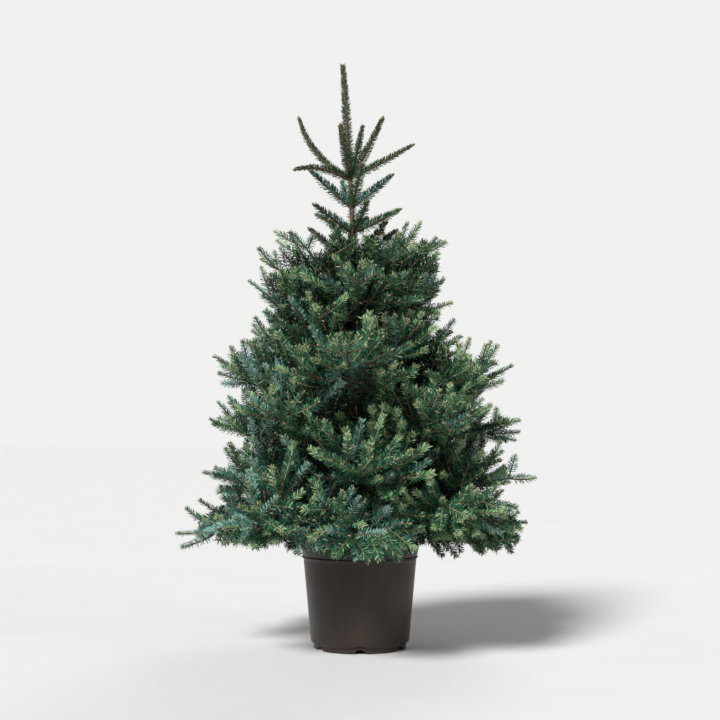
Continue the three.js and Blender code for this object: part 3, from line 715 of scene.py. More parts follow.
def fits(room, spray, others):
    """Whether every ball of a room keeps to its slice and clear of pot, trunk and all the other balls."""
    points, radii = room
    if not (clear_of_pot_and_trunk(points, radii) & inside_slice(points, radii, spray)).all():
        return False
    apart = np.linalg.norm(points[:, None] - others[0][None], axis=-1)
    return not (apart < radii[:, None] + others[1][None] + GAP).any()


def whorl_sprays(whorl, tier):
    """One spray for each bough of a whorl, with its main stem, and the bare bough where it has one."""
    made = []
    for i in range(whorl["count"]):
        draw = seeded(1009 * tier + 97 * (i + 1))
        for _ in range(FIRST_DRAWS):
            next(draw)
        turn = whorl["turn"] + 360 / whorl["count"] * i + TURN_SPREAD * (next(draw) - 0.5)
        to_the_right = math.cos(math.radians(turn))
        share = REACH_LEAST + REACH_SPREAD * next(draw)
        reach = (whorl["reach"] + whorl["drift"] * to_the_right) * share
        rise = whorl["rise"] + whorl["slant"] * to_the_right + RISE_SPREAD * (next(draw) - 0.5)
        length = reach / math.cos(math.radians(rise + whorl["lift"] / 2))
        height = whorl["height"] + (i % 2) * STAGGER + WOBBLE * next(draw)
        whole = grow(trunk_axis(height), heading(turn, rise), length, whorl["lift"], SPRAY_STEPS)
        bare_share = whorl["bare"] / length
        start = bare_share + GAP / length if bare_share else 0
        stem_length = length * (1 - start)
        foot = min(STEM_RADIUS, STEM_SHARE * trunk_radius(height))
        stem = new_twig(whole, stem_length, stem_length * STEM_BARE, foot, start=start)
        limb = along(whole, np.linspace(0, 1, 11) * bare_share)[0]
        made.append(
            SimpleNamespace(
                node=f"tier{tier}_needles{i + 1}", tier=tier, number=i + 1, turn=turn, height=height,
                half=SLICE * math.pi / whorl["count"], draw=draw, whole=whole, start=start, twigs=[stem],
                bare_share=bare_share, core_room=None,
                limb_room=(limb, np.full(11, BOUGH_RADII[0])) if bare_share else None,
            )
        )
    return made


def core_room(spray, others):
    """The room of a spray's crowded inner part: rings of balls along the stem that swell by a sine, are
    narrowed at every other ring, and are shrunk until they fit. Its outline limits the finer twigs."""
    axis = trunk_axis(spray.height)
    start = (CORE_START if spray.bare_share else CORE_START_AT_TRUNK) / spray.twigs[0].length
    rooms = []
    for i in range(CORE_RINGS + 1):
        place = i / CORE_RINGS
        share = start + (CORE_END - start) * place
        point = along(spray.whole, np.array([spray.start + (1 - spray.start) * share]))[0][0]
        across = unit(np.array([axis[1] - point[1], point[0] - axis[0], 0]))
        swell = math.sin(math.pi * (CORE_BLUNT + (1 - 2 * CORE_BLUNT) * place))
        radius = CORE_HALF_WIDTH * swell * (1 if i % 2 else CORE_NOTCH)
        while True:
            ball = CORE_FLAT * radius
            offsets = np.array([-1, -0.5, 0, 0.5, 1]) * (radius - ball)
            room = (point + offsets[:, None] * across, np.full(5, ball))
            if radius <= 2 * STEM_RADIUS or fits(room, spray, others):
                break
            radius *= CORE_SHRINK
        rooms.append(room)
    return joined(rooms)


def add_side_twigs(spray, stem, others, only_one_side):
    """The pairs of side twigs along a stem that find room, each tried at shorter and shorter lengths."""
    added = []
    place, n = FIRST_NODE * stem.length, 1
    while place < stem.length - LAST_NODE:
        for hand in (-1, 1):
            share = (place + PLACE_SPREAD * (next(spray.draw) - 0.5)) / stem.length
            spread = math.radians((SIDE_ANGLE + ANGLE_SPREAD * (next(spray.draw) - 0.5)) * hand)
            tilt = math.radians(LOWEST_TILT + (HIGHEST_TILT - LOWEST_TILT) * next(spray.draw))
            size = SIZE_LEAST + SIZE_SPREAD * next(spray.draw)
            if only_one_side and (1 if n % 2 else -1) != hand:
                continue
            point, way = along(stem.path, np.array([share]))
            point, way = point[0], way[0]
            across = unit(np.cross(UP, way))
            over = np.cross(way, across)
            outward = way * math.cos(spread) + across * math.sin(spread) * math.cos(tilt)
            outward = outward + over * abs(math.sin(spread)) * math.sin(tilt)
            length = min(SIDE_LONGEST, SIDE_RATIO * stem.length * (1 - share) + SIDE_EXTRA) * size
            while length >= SHORTEST:
                path = grow(point, outward, length, SIDE_LIFT, PATH_STEPS)
                side = new_twig(path, length, SIDE_BARE, BARE_TWIG)
                needled = side.room[1] > NEEDLE_REACH
                if fits((side.room[0][needled], side.room[1][needled]), spray, others):
                    added.append(side)
                    break
                length *= SHORTER
        place, n = place + NODE_SPACING, n + 1
    spray.twigs += added
    return added


def others_than(spray, everything):
    """The rooms of everything that a spray has to keep clear of."""
    rooms = [spray.limb_room] if spray.limb_room else []
    for other in everything:
        if other is not spray:
            rooms += [twig.room for twig in other.twigs]
            rooms += [room for room in (other.core_room, other.limb_room) if room]
    return joined(rooms)


sprays = [spray for tier, whorl in enumerate(WHORLS, 1) for spray in whorl_sprays(whorl, tier)]
collars = []
for collar in COLLARS:
    shoots = []
    for i in range(collar["count"]):
        way = heading(collar["turn"] + 360 / collar["count"] * i, collar["rise"])
        path = grow(trunk_axis(collar["height"]), way, collar["length"], COLLAR_LIFT, PATH_STEPS)
        shoots.append(new_twig(path, collar["length"], COLLAR_BARE, BARE_TWIG, TOP_REACH))
    collars.append(SimpleNamespace(node=collar["name"], twigs=shoots, core_room=None, limb_room=None))

everything = sprays + collars
for spray in sprays:
    spray.core_room = core_room(spray, others_than(spray, everything))
for spray in sprays:
    spray.first_twigs = add_side_twigs(spray, spray.twigs[0], others_than(spray, everything), False)
for spray in sprays:
    spray.second_twigs = []
    for stem in spray.first_twigs:
        spray.second_twigs += add_side_twigs(spray, stem, others_than(spray, everything), True)

# ---- Boughs ----
# The eight bare lower limbs: tapering tubes of wood, stout where they leave the trunk, with the same scaly
# bark. Their feet are sunk in the trunk, and their tips carry the stems of the lowest sprays.
BOUGH_STEPS = 40
BOUGH_SIDES = 24
BOUGH_COLLAR = 0.35  # how much stouter a bough is where it leaves the trunk
BOUGH_COLLAR_END = 0.3  # the share of its length over which that fades
BOUGH_SEED = 60

bough_share = np.linspace(0, 1, BOUGH_STEPS)
bough_radius = np.interp(bough_share, np.linspace(0, 1, len(BOUGH_RADII)), BOUGH_RADII)
bough_radius = bough_radius * (1 + BOUGH_COLLAR * np.exp(-((bough_share / BOUGH_COLLAR_END) ** 2)))
bough_points = []
bough_nodes = []
for spray in (s for s in sprays if s.bare_share):
    limb = along(spray.whole, bough_share * spray.bare_share)[0]
    relief = 1 + BARK_RELIEF * bark_relief(BOUGH_STEPS, BOUGH_SIDES, BOUGH_SEED + spray.number)
    bough_points.append(tube_points(limb, bough_radius[:, None] * relief, BOUGH_SIDES))
    bough_nodes.append(f"tier{spray.tier}_bough{spray.number}")
boughs = new_piece(
    "boughs_bark",
    np.concatenate(bough_points),
    repeated(ring_faces(BOUGH_STEPS, BOUGH_SIDES), len(bough_points), BOUGH_STEPS * BOUGH_SIDES + 2),
    bark,
)
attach(boughs, "root")
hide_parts(*bough_nodes)

# ---- Fine shoots ----
# Last year's growth: fingers of needles on thin tan twigs, which leave every stem in pairs, point outwards
# and up, and keep to the reach of their own mass. Upper twigs fill the room between one whorl and the next,
# and inner twigs crowd the room of the solid's core.
FINE_SHOOTS = {
    "angle": 35, "spacing": 0.016, "long": 0.118, "short": 0.086, "lift": 18, "tilts": (-30, 68),
    "density": 1800, "foot": 0.0016, "apart": 0.021, "inner": 0,
}
LOW_SHOOTS = {**FINE_SHOOTS, "angle": 40, "lift": 14}
UNDER_SHOOTS = {
    **FINE_SHOOTS, "angle": 60, "long": 0.090, "short": 0.064, "lift": 2, "tilts": (-85, -25), "apart": 0.015,
}
UPPER_TWIGS = {
    "angle": 46, "spacing": 0.060, "long": 0.125, "short": 0.085, "lift": 18, "tilts": (30, 85),
    "density": 1200, "foot": 0.0019, "apart": 0.021, "inner": 0,
}
INNER_TWIGS = {
    "angle": 64, "spacing": 0.046, "long": 0.135, "short": 0.105, "lift": 14, "tilts": (-30, 76),
    "density": 360, "foot": 0.0019, "apart": 0, "inner": 1,
}
INNER_SHOOTS = {
    "angle": 48, "spacing": 0.038, "long": 0.070, "short": 0.054, "lift": 24, "tilts": (-30, 75),
    "density": 480, "foot": 0.0014, "apart": 0, "inner": 1,
}
FINE_ANGLE_SPREAD = 18
FINE_SIZE_SPREAD = 0.35
FINE_FIRST = 0.018  # from a stem's foot to its first pair of shoots
FINE_FIRST_AT_TRUNK = 0.045
FINE_LAST = 0.050  # and from the last pair to the stem's tip
INNER_LAST = 0.020
INNER_PART = 0.56  # the inner share of a main stem, which bears inner twigs
OUTER_AGAIN = 0.5  # the share of an inner twig beyond which it also bears outer shoots, where there is room
UPPER_PART = (0.28, 0.80)  # the stretch of a main stem that bears upper twigs
UPPER_WHORLS = range(2, 8)  # and the whorls that do
UNDER_PART = 0.80  # the inner share of a lowest stem, which bears shoots that hang
FURTHEST = 0.965  # how far out a fine shoot may reach, as a share of its main stem
CEILING_SPARE, CEILING_SLOPE = 0.006, 0.15  # how high, above its main stem's tip
CEILING_CURVES = (60, 60, 60, 24, 36, 36, 36)  # how fast it rises inwards, whorl by whorl
CROWN_TOP, CROWN_TOP_SLOPE = 0.945, 0.20  # how high at all, and how much higher for each metre to the right
SKIRT, SKIRT_SLOPE = 0.231, -0.10  # how low at the middle, and how much higher for each metre to the right
FINE_STEPS = 4
FINE_REACH = 0.010  # room kept round a fine shoot, pot and trunk included
FINE_TRIES = 4
FINE_SLICE = 1.12  # how far past its slice's edge a fine shoot may stand, as a share of it
CROWD_MOST = 40000  # room for this many points of stems and shoots
CROWN_SEED = 7
PARTS = [*(f"tier{tier}" for tier in range(1, len(WHORLS) + 1)), "top"]
STEM_TIP, TWIG_TIP, FINE_TIP = 0.0016, 0.0012, 0.0011
FINE_BARE = 0.07  # the share of a shoot, and then of a main stem, whose needles have dropped
MAIN_BARE = 0.22
NEEDLE_LONG = 0.0182
NEEDLE_HALF_WIDTH = 0.00097
HALF_WIDTH_INSIDE = 0.0015
NEEDLES_ON_STEMS, NEEDLES_ON_TWIGS = 1000, 1300  # needles a metre
NARROW_TWIG, NARROW_SHOOT = 0.45, 0.22
FAR_OFF = 9.0  # where unused places in the crowd lie


def pairs_along(stem, first, last, rule, draw):
    """Pairs of shoots along one stem, as rows: foot, direction and length of each. A direction is
    way cos(spread) + across sin(spread) cos(tilt) + over sin(spread) sin(tilt).

    A rule gives the degrees from the stem (angle), the metres between pairs (spacing), the length near a
    stem's foot (long) and near its tip (short), the degrees of bend upwards (lift), the least and most
    degrees from level (tilts), needles a metre (density), the wood's radius (foot), the metres that a
    shoot keeps from others (apart, 0 for none), and 1 for shoots hidden inside the crown (inner)."""
    places = np.repeat(np.arange(first, last, rule["spacing"]), 2)
    count = len(places)
    hand = np.tile([-1, 1], count // 2)
    share = np.clip((places + rule["spacing"] * draw.uniform(-0.4, 0.4, count)) / stem.length, 0.02, 0.97)
    spread = np.radians(rule["angle"] + FINE_ANGLE_SPREAD * draw.uniform(-0.5, 0.5, count))
    tilt = np.radians(draw.uniform(*rule["tilts"], count))
    point, way = along(stem.path, share)
    across = unit(np.cross(UP, way)) * hand[:, None]
    over = np.cross(way, across) * hand[:, None]
    outward = way * np.cos(spread)[:, None] + across * (np.sin(spread) * np.cos(tilt))[:, None]
    outward += over * (np.sin(spread) * np.sin(tilt))[:, None]
    length = rule["long"] + (rule["short"] - rule["long"]) * share
    return point, unit(outward), length * (1 + FINE_SIZE_SPREAD * draw.uniform(-0.5, 0.5, count))


def shoot_room(paths, spray):
    """Whether each shoot's whole length is clear of pot and trunk, inside its spray's wider slice, above
    the crown's lower edge, no further out than its main stem's tip, and under a ceiling that rises by
    slope d + curve d^3 at the distance d inwards from that tip."""
    points = paths[:, 1:].reshape(-1, 3)
    radii = np.full(len(points), FINE_REACH)
    wide = SimpleNamespace(height=spray.height, turn=spray.turn, half=spray.half * FINE_SLICE)
    clear = clear_of_pot_and_trunk(points, radii) & inside_slice(points, radii * 0, wide)
    middle = trunk_axis(spray.height)[0]
    reach = math.hypot(spray.whole[-1][0] - middle, spray.whole[-1][1])
    out = np.hypot(points[:, 0] - middle, points[:, 1])
    inwards = reach - out
    curve = CEILING_CURVES[spray.tier - 1]
    ceiling = spray.whole[-1][2] + CEILING_SPARE + CEILING_SLOPE * inwards + curve * inwards**3
    ceiling = np.minimum(ceiling, CROWN_TOP + CROWN_TOP_SLOPE * points[:, 0])
    clear &= (out < FURTHEST * reach) & (points[:, 2] < ceiling)
    clear &= points[:, 2] > SKIRT + SKIRT_SLOPE * points[:, 0]
    return clear.reshape(len(paths), paths.shape[1] - 1).all(axis=1)


def grown_shoots(foot, way, length, lift, spray):
    """The paths of the shoots that fit, each shortened a few times before it is given up."""
    paths = grow(foot, way, length, lift, FINE_STEPS)
    good = shoot_room(paths, spray)
    for _ in range(FINE_TRIES):
        length = np.where(good, length, length * SHORTER)
        paths = grow(foot, way, length, lift, FINE_STEPS)
        good = shoot_room(paths, spray)
    return paths[good], length[good]


def strands(paths, lengths, part, **sizes):
    """A set of stems of one kind: paths with even steps, their lengths, the part of the tree, and for
    each the share that bears no needles (bare), the wood's radius at foot and tip, the needles a metre
    (density), their length (needle), half width (wide) and how much shorter they are at the tip
    (narrow), 1 where the stem is hidden inside the crown (inner), and 0 where it needs no wood (wood)."""
    kind = {"needle": NEEDLE_LONG, "wide": NEEDLE_HALF_WIDTH, "inner": 0, "wood": 1}
    rows = {"lengths": lengths, **kind, **sizes}
    rows = {key: np.broadcast_to(np.asarray(row, float), len(lengths)) for key, row in rows.items()}
    return SimpleNamespace(paths=np.asarray(paths), part=np.full(len(lengths), part), **rows)


def uncrowded(paths, apart):
    """Whether each shoot, taken in turn, keeps its outer half apart from the stems and shoots before it."""
    good = np.zeros(len(paths), bool)
    for i, path in enumerate(paths):
        outer = path[FINE_STEPS // 2 :]
        near = crowd[: crowd_count[0]]
        good[i] = (((outer[:, None] - near[None]) ** 2).sum(axis=-1) > apart**2).all()
        if good[i]:
            crowd[crowd_count[0] : crowd_count[0] + len(outer)] = outer
            crowd_count[0] += len(outer)
    return good


def branched(stem, first, last, rule, spray, draw):
    """The pairs of shoots that a rule gives along a stem, added to the rest, and as stems to grow on."""
    foot, way, length = pairs_along(stem, first, last, rule, draw)
    paths, length = grown_shoots(foot, way, length, rule["lift"], spray)
    if rule["apart"]:
        good = uncrowded(paths, rule["apart"])
        paths, length = paths[good], length[good]
    shoots.append(strands(
        paths, length, f"tier{spray.tier}", bare=FINE_BARE, foot=rule["foot"], tip=FINE_TIP,
        density=rule["density"], narrow=NARROW_SHOOT, inner=rule["inner"],
        wide=HALF_WIDTH_INSIDE if rule["inner"] else NEEDLE_HALF_WIDTH,
    ))
    return [SimpleNamespace(path=path, length=one) for path, one in zip(paths, length)]


stems, shoots = [], []
outer_stems = [twig.line[LINE_STEPS // 2 :] for spray in sprays for twig in spray.twigs]
crowd_count = [sum(len(line) for line in outer_stems)]
crowd = np.full((CROWD_MOST, 3), FAR_OFF)
crowd[: crowd_count[0]] = np.concatenate(outer_stems)
for spray in sprays:
    draw = np.random.default_rng([CROWN_SEED, spray.tier, spray.number])
    main = spray.twigs[0]
    stems.append(strands(
        main.line[None], [main.length], f"tier{spray.tier}", bare=MAIN_BARE, foot=main.foot, tip=STEM_TIP,
        density=NEEDLES_ON_STEMS, narrow=NARROW_TWIG,
    ))
    sides = spray.first_twigs + spray.second_twigs
    if sides:
        lengths = np.array([twig.length for twig in sides])
        stems.append(strands(
            [twig.line for twig in sides], lengths, f"tier{spray.tier}", bare=SIDE_BARE / lengths,
            foot=0.8 * BARE_TWIG, tip=TWIG_TIP, density=NEEDLES_ON_TWIGS, narrow=NARROW_TWIG,
        ))
    first = FINE_FIRST if spray.bare_share else FINE_FIRST_AT_TRUNK
    upper = []
    if spray.tier in UPPER_WHORLS:
        start, end = np.multiply(UPPER_PART, main.length)
        upper = branched(main, start, end, UPPER_TWIGS, spray, draw)
    for stem, start in [(main, first), *((twig, FINE_FIRST) for twig in sides + upper)]:
        lowest = spray.tier == 1
        branched(stem, start, stem.length - FINE_LAST, LOW_SHOOTS if lowest else FINE_SHOOTS, spray, draw)
        if lowest:
            branched(stem, start, UNDER_PART * stem.length, UNDER_SHOOTS, spray, draw)
    inner = branched(main, first, INNER_PART * main.length, INNER_TWIGS, spray, draw)
    for twig in inner:
        branched(twig, OUTER_AGAIN * twig.length, twig.length, FINE_SHOOTS, spray, draw)
    for twig in inner:
        branched(twig, FINE_FIRST, twig.length - INNER_LAST, INNER_SHOOTS, spray, draw)

# ---- The open top ----
# Above the full crown the trunk carries three small collars of single shoots, the six long shoots of
# the last whorl, and the leader. Their needles are shorter and stiffer, and press forwards.
TOP_HEIGHT = 1.112
TOP_SHOOTS = [
    {"turn": 2, "rise": 25, "lift": 8, "length": 0.168},
    {"turn": 74, "rise": 52, "lift": 14, "length": 0.190},
    {"turn": 166, "rise": 22, "lift": 72, "length": 0.205},
    {"turn": 208, "rise": 24, "lift": -34, "length": 0.146},
    {"turn": 256, "rise": 42, "lift": 22, "length": 0.138},
    {"turn": 305, "rise": 38, "lift": 14, "length": 0.178},
]
TOP_STAGGER = 0.006
TOP_KIND = {"foot": 0.0036, "tip": 0.0027, "density": 2100, "wide": 0.0011}  # as strands takes them
TOP_BARE = 0.05
TOP_NEEDLE, COLLAR_NEEDLE = 0.0162, 0.0215
NARROW_TOP, NARROW_COLLAR, NARROW_LEADER = 0.52, 0.58, 0.34
LEADER_NEEDLES = (  # from one height up to the next, and how many a metre
    (0.925, 1.128, 900),
    (1.128, TREE_TOP - 0.006, TOP_KIND["density"]),
)

for collar in collars:
    lengths = np.array([twig.length for twig in collar.twigs])
    stems.append(strands(
        [twig.line for twig in collar.twigs], lengths, "top", bare=0.5 * COLLAR_BARE / lengths,
        needle=COLLAR_NEEDLE, narrow=NARROW_COLLAR, **TOP_KIND,
    ))
for i, shoot in enumerate(TOP_SHOOTS):
    start = trunk_axis(TOP_HEIGHT + ((i + 1) % 2) * TOP_STAGGER)
    path = grow(start, heading(shoot["turn"], shoot["rise"]), shoot["length"], shoot["lift"], LINE_STEPS)
    stems.append(strands(
        path[None], [shoot["length"]], "top", bare=TOP_BARE, needle=TOP_NEEDLE, narrow=NARROW_TOP, **TOP_KIND,
    ))
for low, high, density in LEADER_NEEDLES:
    line = trunk_axis(np.linspace(low, high, LINE_STEPS + 1))
    stems.append(strands(
        line[None], [high - low], "top", bare=0, foot=trunk_radius(low), tip=trunk_radius(high),
        density=density, needle=TOP_NEEDLE, narrow=NARROW_LEADER, wide=TOP_KIND["wide"], wood=0,
    ))


def gathered(sets):
    """Several sets of strands with the same number of steps as one, kept in order."""
    return SimpleNamespace(**{key: np.concatenate([getattr(s, key) for s in sets]) for key in vars(sets[0])})


stems, shoots = gathered(stems), gathered(shoots)

# ---- Twigs ----
# The wood inside the needles: grey-brown where it is old, tan on last year's shoots. Each twig tapers
# to its bud.
STEM_SIDES = 6
SHOOT_SIDES = 3
MASS_NODES = {part: [] for part in PARTS}
for spray in sprays:
    MASS_NODES[f"tier{spray.tier}"].append(spray.node)
MASS_NODES["top"] = [collar.node for collar in collars] + ["leader_needles"]
MASS_NODES["top"] += [f"top_shoot{i + 1}" for i in range(len(TOP_SHOOTS))]

old_wood = finish("old_twig_bark", (64, 51, 38), (106, 87, 64), 240.0, 0.85, detail=4.0, bump=0.5)
young_wood = finish("tan_twig_bark", (128, 109, 82), (174, 149, 116), 300.0, 0.7, bump=0.3)


def wood_points(some, sides):
    """The rings of many tapering twigs at once: the radius runs evenly from foot to tip."""
    steps = np.linspace(0, 1, some.paths.shape[1])
    radii = some.foot[:, None] + (some.tip - some.foot)[:, None] * steps
    return tube_points(some.paths, radii[..., None], sides)


def chosen(some, keep):
    """The strands that keep marks."""
    return SimpleNamespace(**{key: value[keep] for key, value in vars(some).items()})


TWIG_KINDS = (  # name, the strands it takes, whether they are inside the crown, sides and finish
    ("stems", stems, 0, STEM_SIDES, old_wood),
    ("twigs", shoots, 0, SHOOT_SIDES, young_wood),
    ("inner_twigs", shoots, 1, SHOOT_SIDES, old_wood),
)
for part in PARTS:
    for name, some, inner, sides, wood in TWIG_KINDS:
        these = chosen(some, (some.part == part) & (some.inner == inner) & (some.wood > 0))
        if not len(these.lengths):
            continue
        rings = these.paths.shape[1]
        faces = repeated(ring_faces(rings, sides), len(these.lengths), rings * sides + 2)
        piece = new_piece(f"{part}_{name}", wood_points(these, sides), faces, wood)
        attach(piece, "root")
        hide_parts(*MASS_NODES[part])

# ---- Needles ----
# Stiff needles set round each twig in a spiral, each a narrow blade with a sharp tip and its foot sunk in
# the wood. They part along the twig's underside, sweep upwards, and lean forwards most at its tip. Each
# shoot has one plain colour, the darkest as painted shade inside the crown and on the right. Odd needles
# are a shade off it, the paler ones as painted glints, and paler tips are fresh growth and painted highlight.
NEEDLE_FAN = 155  # how far round from the top the needles reach, in degrees
NEEDLE_SWEEP = 0.10
GOLDEN_TURN = 137.508
LEAN_AT_FOOT, LEAN_AT_TIP = 62, 40  # degrees between needle and twig
LEAN_SPREAD = 16
NEEDLE_ROLL = 40  # degrees that a needle's blade may turn either way
FOOT_WIDTH = 0.6  # a needle's width at its foot, as a share of that at its shoulder
SHOULDER = 0.68  # the share of its length at which it starts to taper
SHORT_AT_FOOT = 0.25  # how much shorter the first needles are
NEEDLE_SEED = 23
OLIVE_FROM = 1.13  # the height of the last whorl, whose needles are duller
FRESH_AND_LIT_FROM = 0.76  # the share of a shoot beyond which its needles may be paler: fresh growth and painted highlight
SHADES = {  # the dark and the light of each colour of needle
    # painted shade: the darkest needles, for shoots inside the crown and on its right
    "deep": ((9, 27, 18), (17, 42, 29)),
    "green": ((34, 83, 58), (58, 113, 81)),
    "blue": ((44, 92, 80), (70, 121, 107)),
    "frosted": ((98, 143, 132), (138, 180, 167)),
    # fresh growth and painted highlight: the paler tips of outer shoots, where light falls on the crown
    "fresh": ((110, 146, 102), (160, 190, 142)),
    "olive": ((40, 56, 38), (74, 92, 62)),
}
DEEP_PAINTED_SHADE, GREEN, BLUE, FROSTED, FRESH_AND_LIT, OLIVE = range(len(SHADES))
PALER = np.array([GREEN, FRESH_AND_LIT, FROSTED, FROSTED, FRESH_AND_LIT, GREEN])  # the next lighter shade of each
DARKER = np.array([DEEP_PAINTED_SHADE, DEEP_PAINTED_SHADE, DEEP_PAINTED_SHADE, BLUE, GREEN, DEEP_PAINTED_SHADE])  # and the next darker one
CROWN_RADII = ((0.25, 0.45, 0.75, 0.95, 1.0, 1.4), (0.40, 0.38, 0.27, 0.18, 0.1, 0.1))  # at each height
OPEN_TOP = 1.0  # the height of the open top
FRESH_AND_LIT_HEIGHT = 0.275  # the height above which there are paler tips of fresh growth and painted highlight,
FRESH_AND_LIT_SHARE = 0.6  # and the share of outer shoots that have them
ODD_NEEDLES = 0.15  # the share of needles a shade darker than their spray, and of those a shade paler as painted glints
NEEDLE_FACES = [np.array([[0, 1, 2, 3]]), np.array([[3, 2, 4]])]
NEEDLE_CORNERS = 5


def spiral_needles(some, seed):
    """Each needle's five corners, its owner and its share of the way along. The nth needle stands at n
    times the golden turn, folded onto the fan, and points along way cos(lean) + radial sin(lean), swept
    a little towards the top of the twig."""
    draw = np.random.default_rng(seed)
    count = np.maximum((some.lengths * (1 - some.bare) * some.density).astype(int), 4)
    owner = np.repeat(np.arange(len(count)), count)
    rank = np.arange(len(owner)) - np.repeat(np.cumsum(count) - count, count)
    within = (rank + draw.uniform(0.2, 0.8, len(owner))) / count[owner]
    share = some.bare[owner] + (1 - some.bare[owner]) * within
    point, way = along(some.paths, share, owner)
    level, over, upright = square_to(way)
    fan = np.where(upright[:, 0], 180, NEEDLE_FAN)
    turn = np.radians(fan * (2 * ((rank * GOLDEN_TURN / 360 + draw.uniform(0, 0.06, len(rank))) % 1) - 1))
    radial = over * np.cos(turn)[:, None] + level * np.sin(turn)[:, None]
    lean = LEAN_AT_FOOT + (LEAN_AT_TIP - LEAN_AT_FOOT) * within**2
    lean = np.radians(lean + LEAN_SPREAD * draw.uniform(-0.5, 0.5, len(rank)))
    sweep = np.where(upright, 0, NEEDLE_SWEEP)
    aim = unit(way * np.cos(lean)[:, None] + radial * np.sin(lean)[:, None] + over * sweep)
    ends = (1 - SHORT_AT_FOOT * (1 - within) ** 6) * (1 - some.narrow[owner] * within**2)
    long = some.needle[owner] * ends * draw.uniform(0.84, 1.08, len(rank))
    wood = some.foot[owner] + (some.tip - some.foot)[owner] * share
    base = point + radial * (0.4 * wood)[:, None]
    one = unit(np.cross(aim, way))
    two = np.cross(aim, one)
    roll = np.radians(NEEDLE_ROLL * draw.uniform(-1, 1, len(rank)))[:, None]
    across = some.wide[owner][:, None] * (two * np.cos(roll) + one * np.sin(roll))
    shoulder = base + aim * (SHOULDER * long)[:, None]
    corner = [base - FOOT_WIDTH * across, base + FOOT_WIDTH * across, shoulder + across, shoulder - across]
    return np.stack([*corner, base + aim * long[:, None]], axis=1), owner, within


def shades_of(some, seed):
    """The shade of each strand by its place, as its number in SHADES: bluer to the left and low down,
    painted shade as the darkest green inside the crown and on the right, olive in the last whorl, and
    the rest green. And whether its tip is paler, as fresh growth and painted highlight."""
    draw = np.random.default_rng(seed)
    middle = some.paths[:, some.paths.shape[1] // 2]
    x, y, z = middle.T
    out = np.hypot(x - CROWN_DRIFT * up_trunk(z) ** DRIFT_POWER, y)
    inside = out / np.interp(z, *CROWN_RADII)
    top = z > OPEN_TOP
    blue = np.clip(0.20 - 1.3 * x + 0.6 * (0.40 - z), 0.06, 0.85)
    frosted = np.clip(0.6 * (0.36 - z) - 1.0 * x, 0, 0.5)
    blue = np.where(top, 0.55, blue)
    # painted shade: the deeper inside the crown and the further right, the likelier the darkest shade
    deep = np.where(top, 0.1, np.clip(1.22 - 1.65 * inside + 0.45 * x, 0.08, 0.95))
    chance = draw.uniform(0, 1, (3, len(x)))
    shade = np.where(chance[0] < blue, BLUE, GREEN)
    shade = np.where(chance[1] < frosted, FROSTED, shade)
    # shoots hidden inside the crown always take the painted shade
    shade = np.where((chance[2] < deep) | (some.inner > 0), DEEP_PAINTED_SHADE, shade)
    shade = np.where(z > OLIVE_FROM, OLIVE, shade)
    # paler tips on outer shoots: fresh growth, and painted highlight on the crown's lit outside
    fresh = (inside > 0.5) & (draw.uniform(0, 1, len(x)) < FRESH_AND_LIT_SHARE)
    return shade, fresh & (some.inner == 0) & (z > FRESH_AND_LIT_HEIGHT) & ~top


needle_finishes = {}
for shade, (dark, light) in SHADES.items():
    needle_finishes[shade] = finish(f"{shade}_needles", dark, light, 70.0, 0.40, detail=2.0, sharpness=2.0)
    shader_of(needle_finishes[shade]).inputs["Specular IOR Level"].default_value = 0.28
needle_sets = []
for number, some in enumerate((stems, shoots)):
    corners, owner, within = spiral_needles(some, NEEDLE_SEED + number)
    shade, fresh = shades_of(some, NEEDLE_SEED + 10 + number)
    shade = shade[owner]
    # the tips of those shoots take the paler shade, as fresh growth and painted highlight
    tip = fresh[owner] & (within > FRESH_AND_LIT_FROM)
    shade = np.where(tip, PALER[shade], shade)
    # odd needles a shade darker at random, and a shade paler as painted glints
    odd = np.random.default_rng(NEEDLE_SEED + 20 + number).uniform(0, 1, len(shade))
    shade = np.where(odd < ODD_NEEDLES, DARKER[shade], np.where(odd > 1 - ODD_NEEDLES, PALER[shade], shade))
    needle_sets.append((corners, shade, some.part[owner]))
needle_corners, needle_shades, needle_parts = (np.concatenate(rows) for rows in zip(*needle_sets))

for part in PARTS:
    for number, shade in enumerate(SHADES):
        these = needle_corners[(needle_parts == part) & (needle_shades == number)]
        if not len(these):
            continue
        piece = new_piece(
            f"{part}_needles_{shade}", these, repeated(NEEDLE_FACES, len(these), NEEDLE_CORNERS),
            needle_finishes[shade], smooth=False,
        )
        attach(piece, "root")
        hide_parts(*MASS_NODES[part])

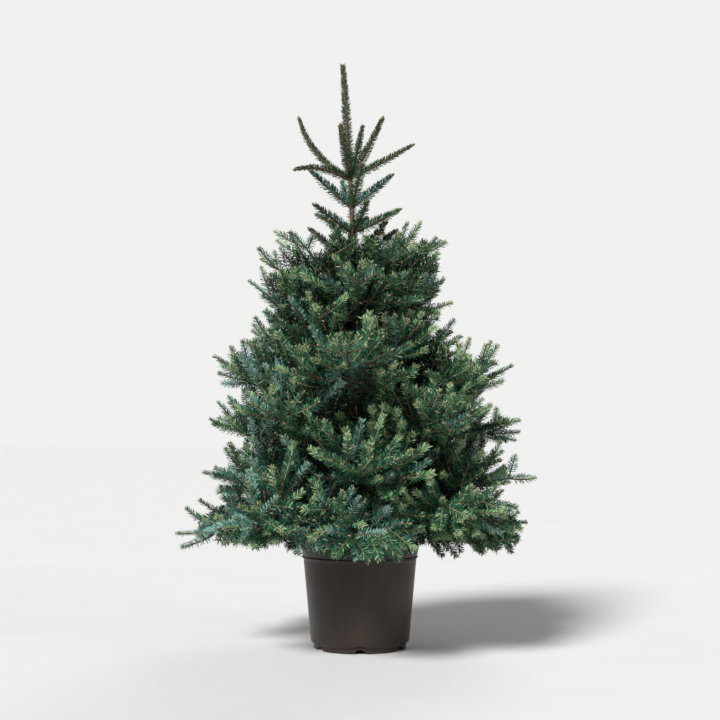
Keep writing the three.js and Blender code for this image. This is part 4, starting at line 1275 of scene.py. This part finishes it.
# ---- Buds ----
# A pointed, scaly tan bud of wood at the tip of every outer stem and shoot, with two smaller ones beside
# it, all with their feet sunk in the tip.
BUD_SIDES = 3
END_BUD, SIDE_BUD = (0.0082, 0.0027), (0.0062, 0.0020)  # length and radius
TOP_BUDS = 1.7  # how much larger the buds of the open top are
BUD_PROFILE = ((0.25, 0.85), (0.62, 0.8))  # share of the length and of the radius at each ring
SIDE_BUD_ANGLE = math.radians(42)
END_BUD_SUNK, SIDE_BUD_SUNK = 0.001, 0.0025  # how far back from the tip they start

BUD_RELIEF = {"scale": 400.0, "roughness": 0.7, "detail": 2.0, "bump": 0.4}

bud_finish = finish("bud_scales", (122, 106, 72), (180, 158, 118), **BUD_RELIEF)
top_bud_finish = finish("top_bud_scales", (84, 76, 46), (128, 114, 72), **BUD_RELIEF)


def bud_points(foot, way, length, radius):
    """Egg-shaped buds: two rings between a blunt foot and a pointed tip."""
    shares = np.array([0.0, *(share for share, _ in BUD_PROFILE), 1.0])
    paths = foot[:, None] + way[:, None] * (shares * length)[:, None]
    level, over, _ = square_to(unit(np.gradient(paths, axis=-2)))
    angle = np.linspace(0, 2 * math.pi, BUD_SIDES, endpoint=False)
    rings = [
        paths[:, i + 1, None] + radius * width * (
            level[:, i + 1, None] * np.cos(angle)[:, None] + over[:, i + 1, None] * np.sin(angle)[:, None]
        )
        for i, (_, width) in enumerate(BUD_PROFILE)
    ]
    return np.concatenate([*rings, paths[:, :1], paths[:, -1:]], axis=1)


for part in PARTS:
    buds = []
    larger = TOP_BUDS if part == "top" else 1.0
    end_bud, side_bud = np.multiply(END_BUD, larger), np.multiply(SIDE_BUD, larger)
    for some in (stems, shoots):
        these = chosen(some, (some.part == part) & (some.inner == 0) & (some.wood > 0))
        tip, way = these.paths[:, -1], unit(these.paths[:, -1] - these.paths[:, -2])
        level = unit(np.cross(UP, way))
        buds.append(bud_points(tip - END_BUD_SUNK * way, way, *end_bud))
        for hand in (-1, 1):
            aside = way * math.cos(SIDE_BUD_ANGLE) + hand * level * math.sin(SIDE_BUD_ANGLE)
            buds.append(bud_points(tip - SIDE_BUD_SUNK * way, aside, *side_bud))
    buds = np.concatenate(buds)
    piece = new_piece(
        f"{part}_buds", buds, repeated(ring_faces(len(BUD_PROFILE), BUD_SIDES), len(buds), buds.shape[1]),
        top_bud_finish if part == "top" else bud_finish,
    )
    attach(piece, "root")
    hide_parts(*MASS_NODES[part])
